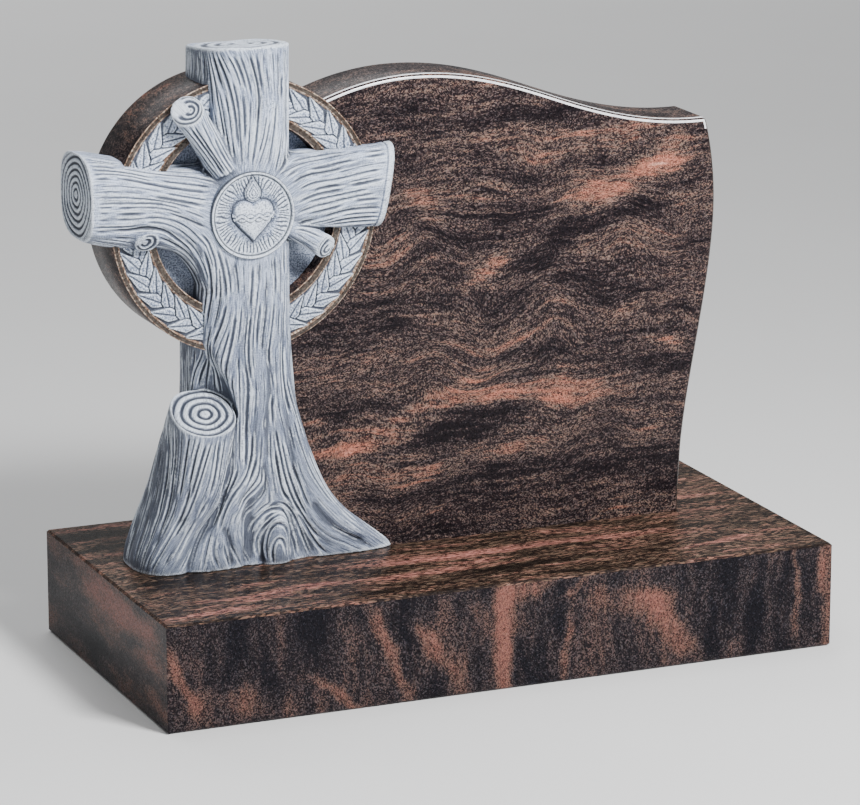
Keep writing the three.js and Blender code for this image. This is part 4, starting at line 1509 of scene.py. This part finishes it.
def dress(piece, material):
    """Give a piece of the headstone its material, hang it from the root body and hide the headstone part."""
    piece.data.materials.clear()
    piece.data.materials.append(material)
    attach(piece, "root")
    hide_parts("headstone")


POLISHED, RECESS, ARRIS_HIGHLIGHT, RIM, TAN_RIM = range(5)
arris_above, arris_right_of = 700, 200


def slab_finish(face):
    """Which of the slab's finishes a face has, by where it is and how it slopes."""
    x, y, z = face.center / MM
    away = math.hypot(x - cross_x, z - ring_z)
    facing = face.normal.y
    sloping = -0.985 < facing < -0.15
    if y > ring_front + band_sunk - 0.3 and facing < -0.9 and away < ring_radius - outer_rim:
        return RECESS
    # Painted highlight: the ring's rounded edges take the pale tan.
    if sloping and away < ring_radius + 2 and y < ring_front + 2:
        return RIM
    # Painted highlight: the tablet's upper arris takes the near-white material on its faces that look to the front
    # or up, as pale lines of light.
    if sloping and away > ring_radius and face.normal.z > 0.2 * (1 + facing) and z > arris_above:
        return ARRIS_HIGHLIGHT if facing < -0.8 or facing > -0.4 else POLISHED
    # Painted highlight, dim: the middle of the chamfer down the tablet's right side takes the dark tan.
    if sloping and away > ring_radius and x > arris_right_of and -0.8 < facing < -0.4:
        return TAN_RIM
    if facing < -0.99 and away < ring_radius and y < ring_front + 0.5:
        return TAN_RIM
    return POLISHED


# Camera, light and floor.
camera = bpy.data.objects.new("camera", bpy.data.cameras.new("camera"))
bpy.context.collection.objects.link(camera)
bpy.context.scene.camera = camera
camera.data.sensor_width = 36
focal_pixels, picture_pixels = 4449, 860
camera.data.lens = focal_pixels / picture_pixels * camera.data.sensor_width
camera.location = (-2.365, -5.503, 1.906)
yaw, pitch = math.radians(23.16), math.radians(14.62)
forward = Vector((math.sin(yaw) * math.cos(pitch), math.cos(yaw) * math.cos(pitch), -math.sin(pitch)))
camera.rotation_euler = forward.to_track_quat("-Z", "Y").to_euler()
camera.data.clip_end = 60

bpy.ops.mesh.primitive_plane_add(size=30, location=(0, 0, 0))
floor = bpy.context.object
floor.name = "floor"
ground = Finish("pale_floor")
clouds = ground.noise(ground.place, 2).outputs[0]
pale = ground.ramp(clouds, [(0, (0.9, 0.9, 0.9)), (1, (0.92, 0.92, 0.92))])
floor.data.materials.append(ground.finish(pale, 0.8))


def lamp(name, place, target, size, power):
    light = bpy.data.lights.new(name, "AREA")
    light.shape = "RECTANGLE"
    light.size, light.size_y = size
    light.energy = power
    piece = bpy.data.objects.new(name, light)
    bpy.context.collection.objects.link(piece)
    piece.location = place
    aim = Vector(target) - Vector(place)
    piece.rotation_euler = aim.to_track_quat("-Z", "Y").to_euler()


lamp("key", (0.75, -2.45, 2.6), (-0.15, 0, 0.58), (0.9, 0.6), 212)
lamp("backdrop", (0, 8.5, 6), (0, 7, 0), (9, 4), 420)
lamp("fill", (-3.0, -2.6, 1.6), (0, 0, 0.4), (2.0, 2.0), 9)
lamp("top", (-0.4, 0.6, 3.2), (0, 0, 0.6), (2.4, 1.0), 26)
world = bpy.data.worlds.new("studio")
bpy.context.scene.world = world
world.use_nodes = True
world.node_tree.nodes["Background"].inputs[0].default_value = (0.96, 0.98, 1, 1)
world.node_tree.nodes["Background"].inputs[1].default_value = 0.24

slab = make_slab()
leaves = make_leaves()
medallion = make_medallion()
cross = make_cross()

dress(slab, tablet_granite("polished_granite_veined"))
dress(leaves, carved_stone("carved_leaves"))
dress(medallion, carved_stone("carved_medallion"))
dress(cross, carved_stone("carved_bark", streaked=True))
for extra in (
    carved_stone("dull_recess", recess=True),
    arris_highlight_stone("arris_painted_highlight"),
    rim_stone("rim_painted_highlight"),
    rim_stone("tan_rim", 0.4),
):
    slab.data.materials.append(extra)
for face in slab.data.polygons:
    face.material_index = slab_finish(face)

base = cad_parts["base"]
base.data.materials.clear()
base.data.materials.append(base_granite("veined_base_granite"))
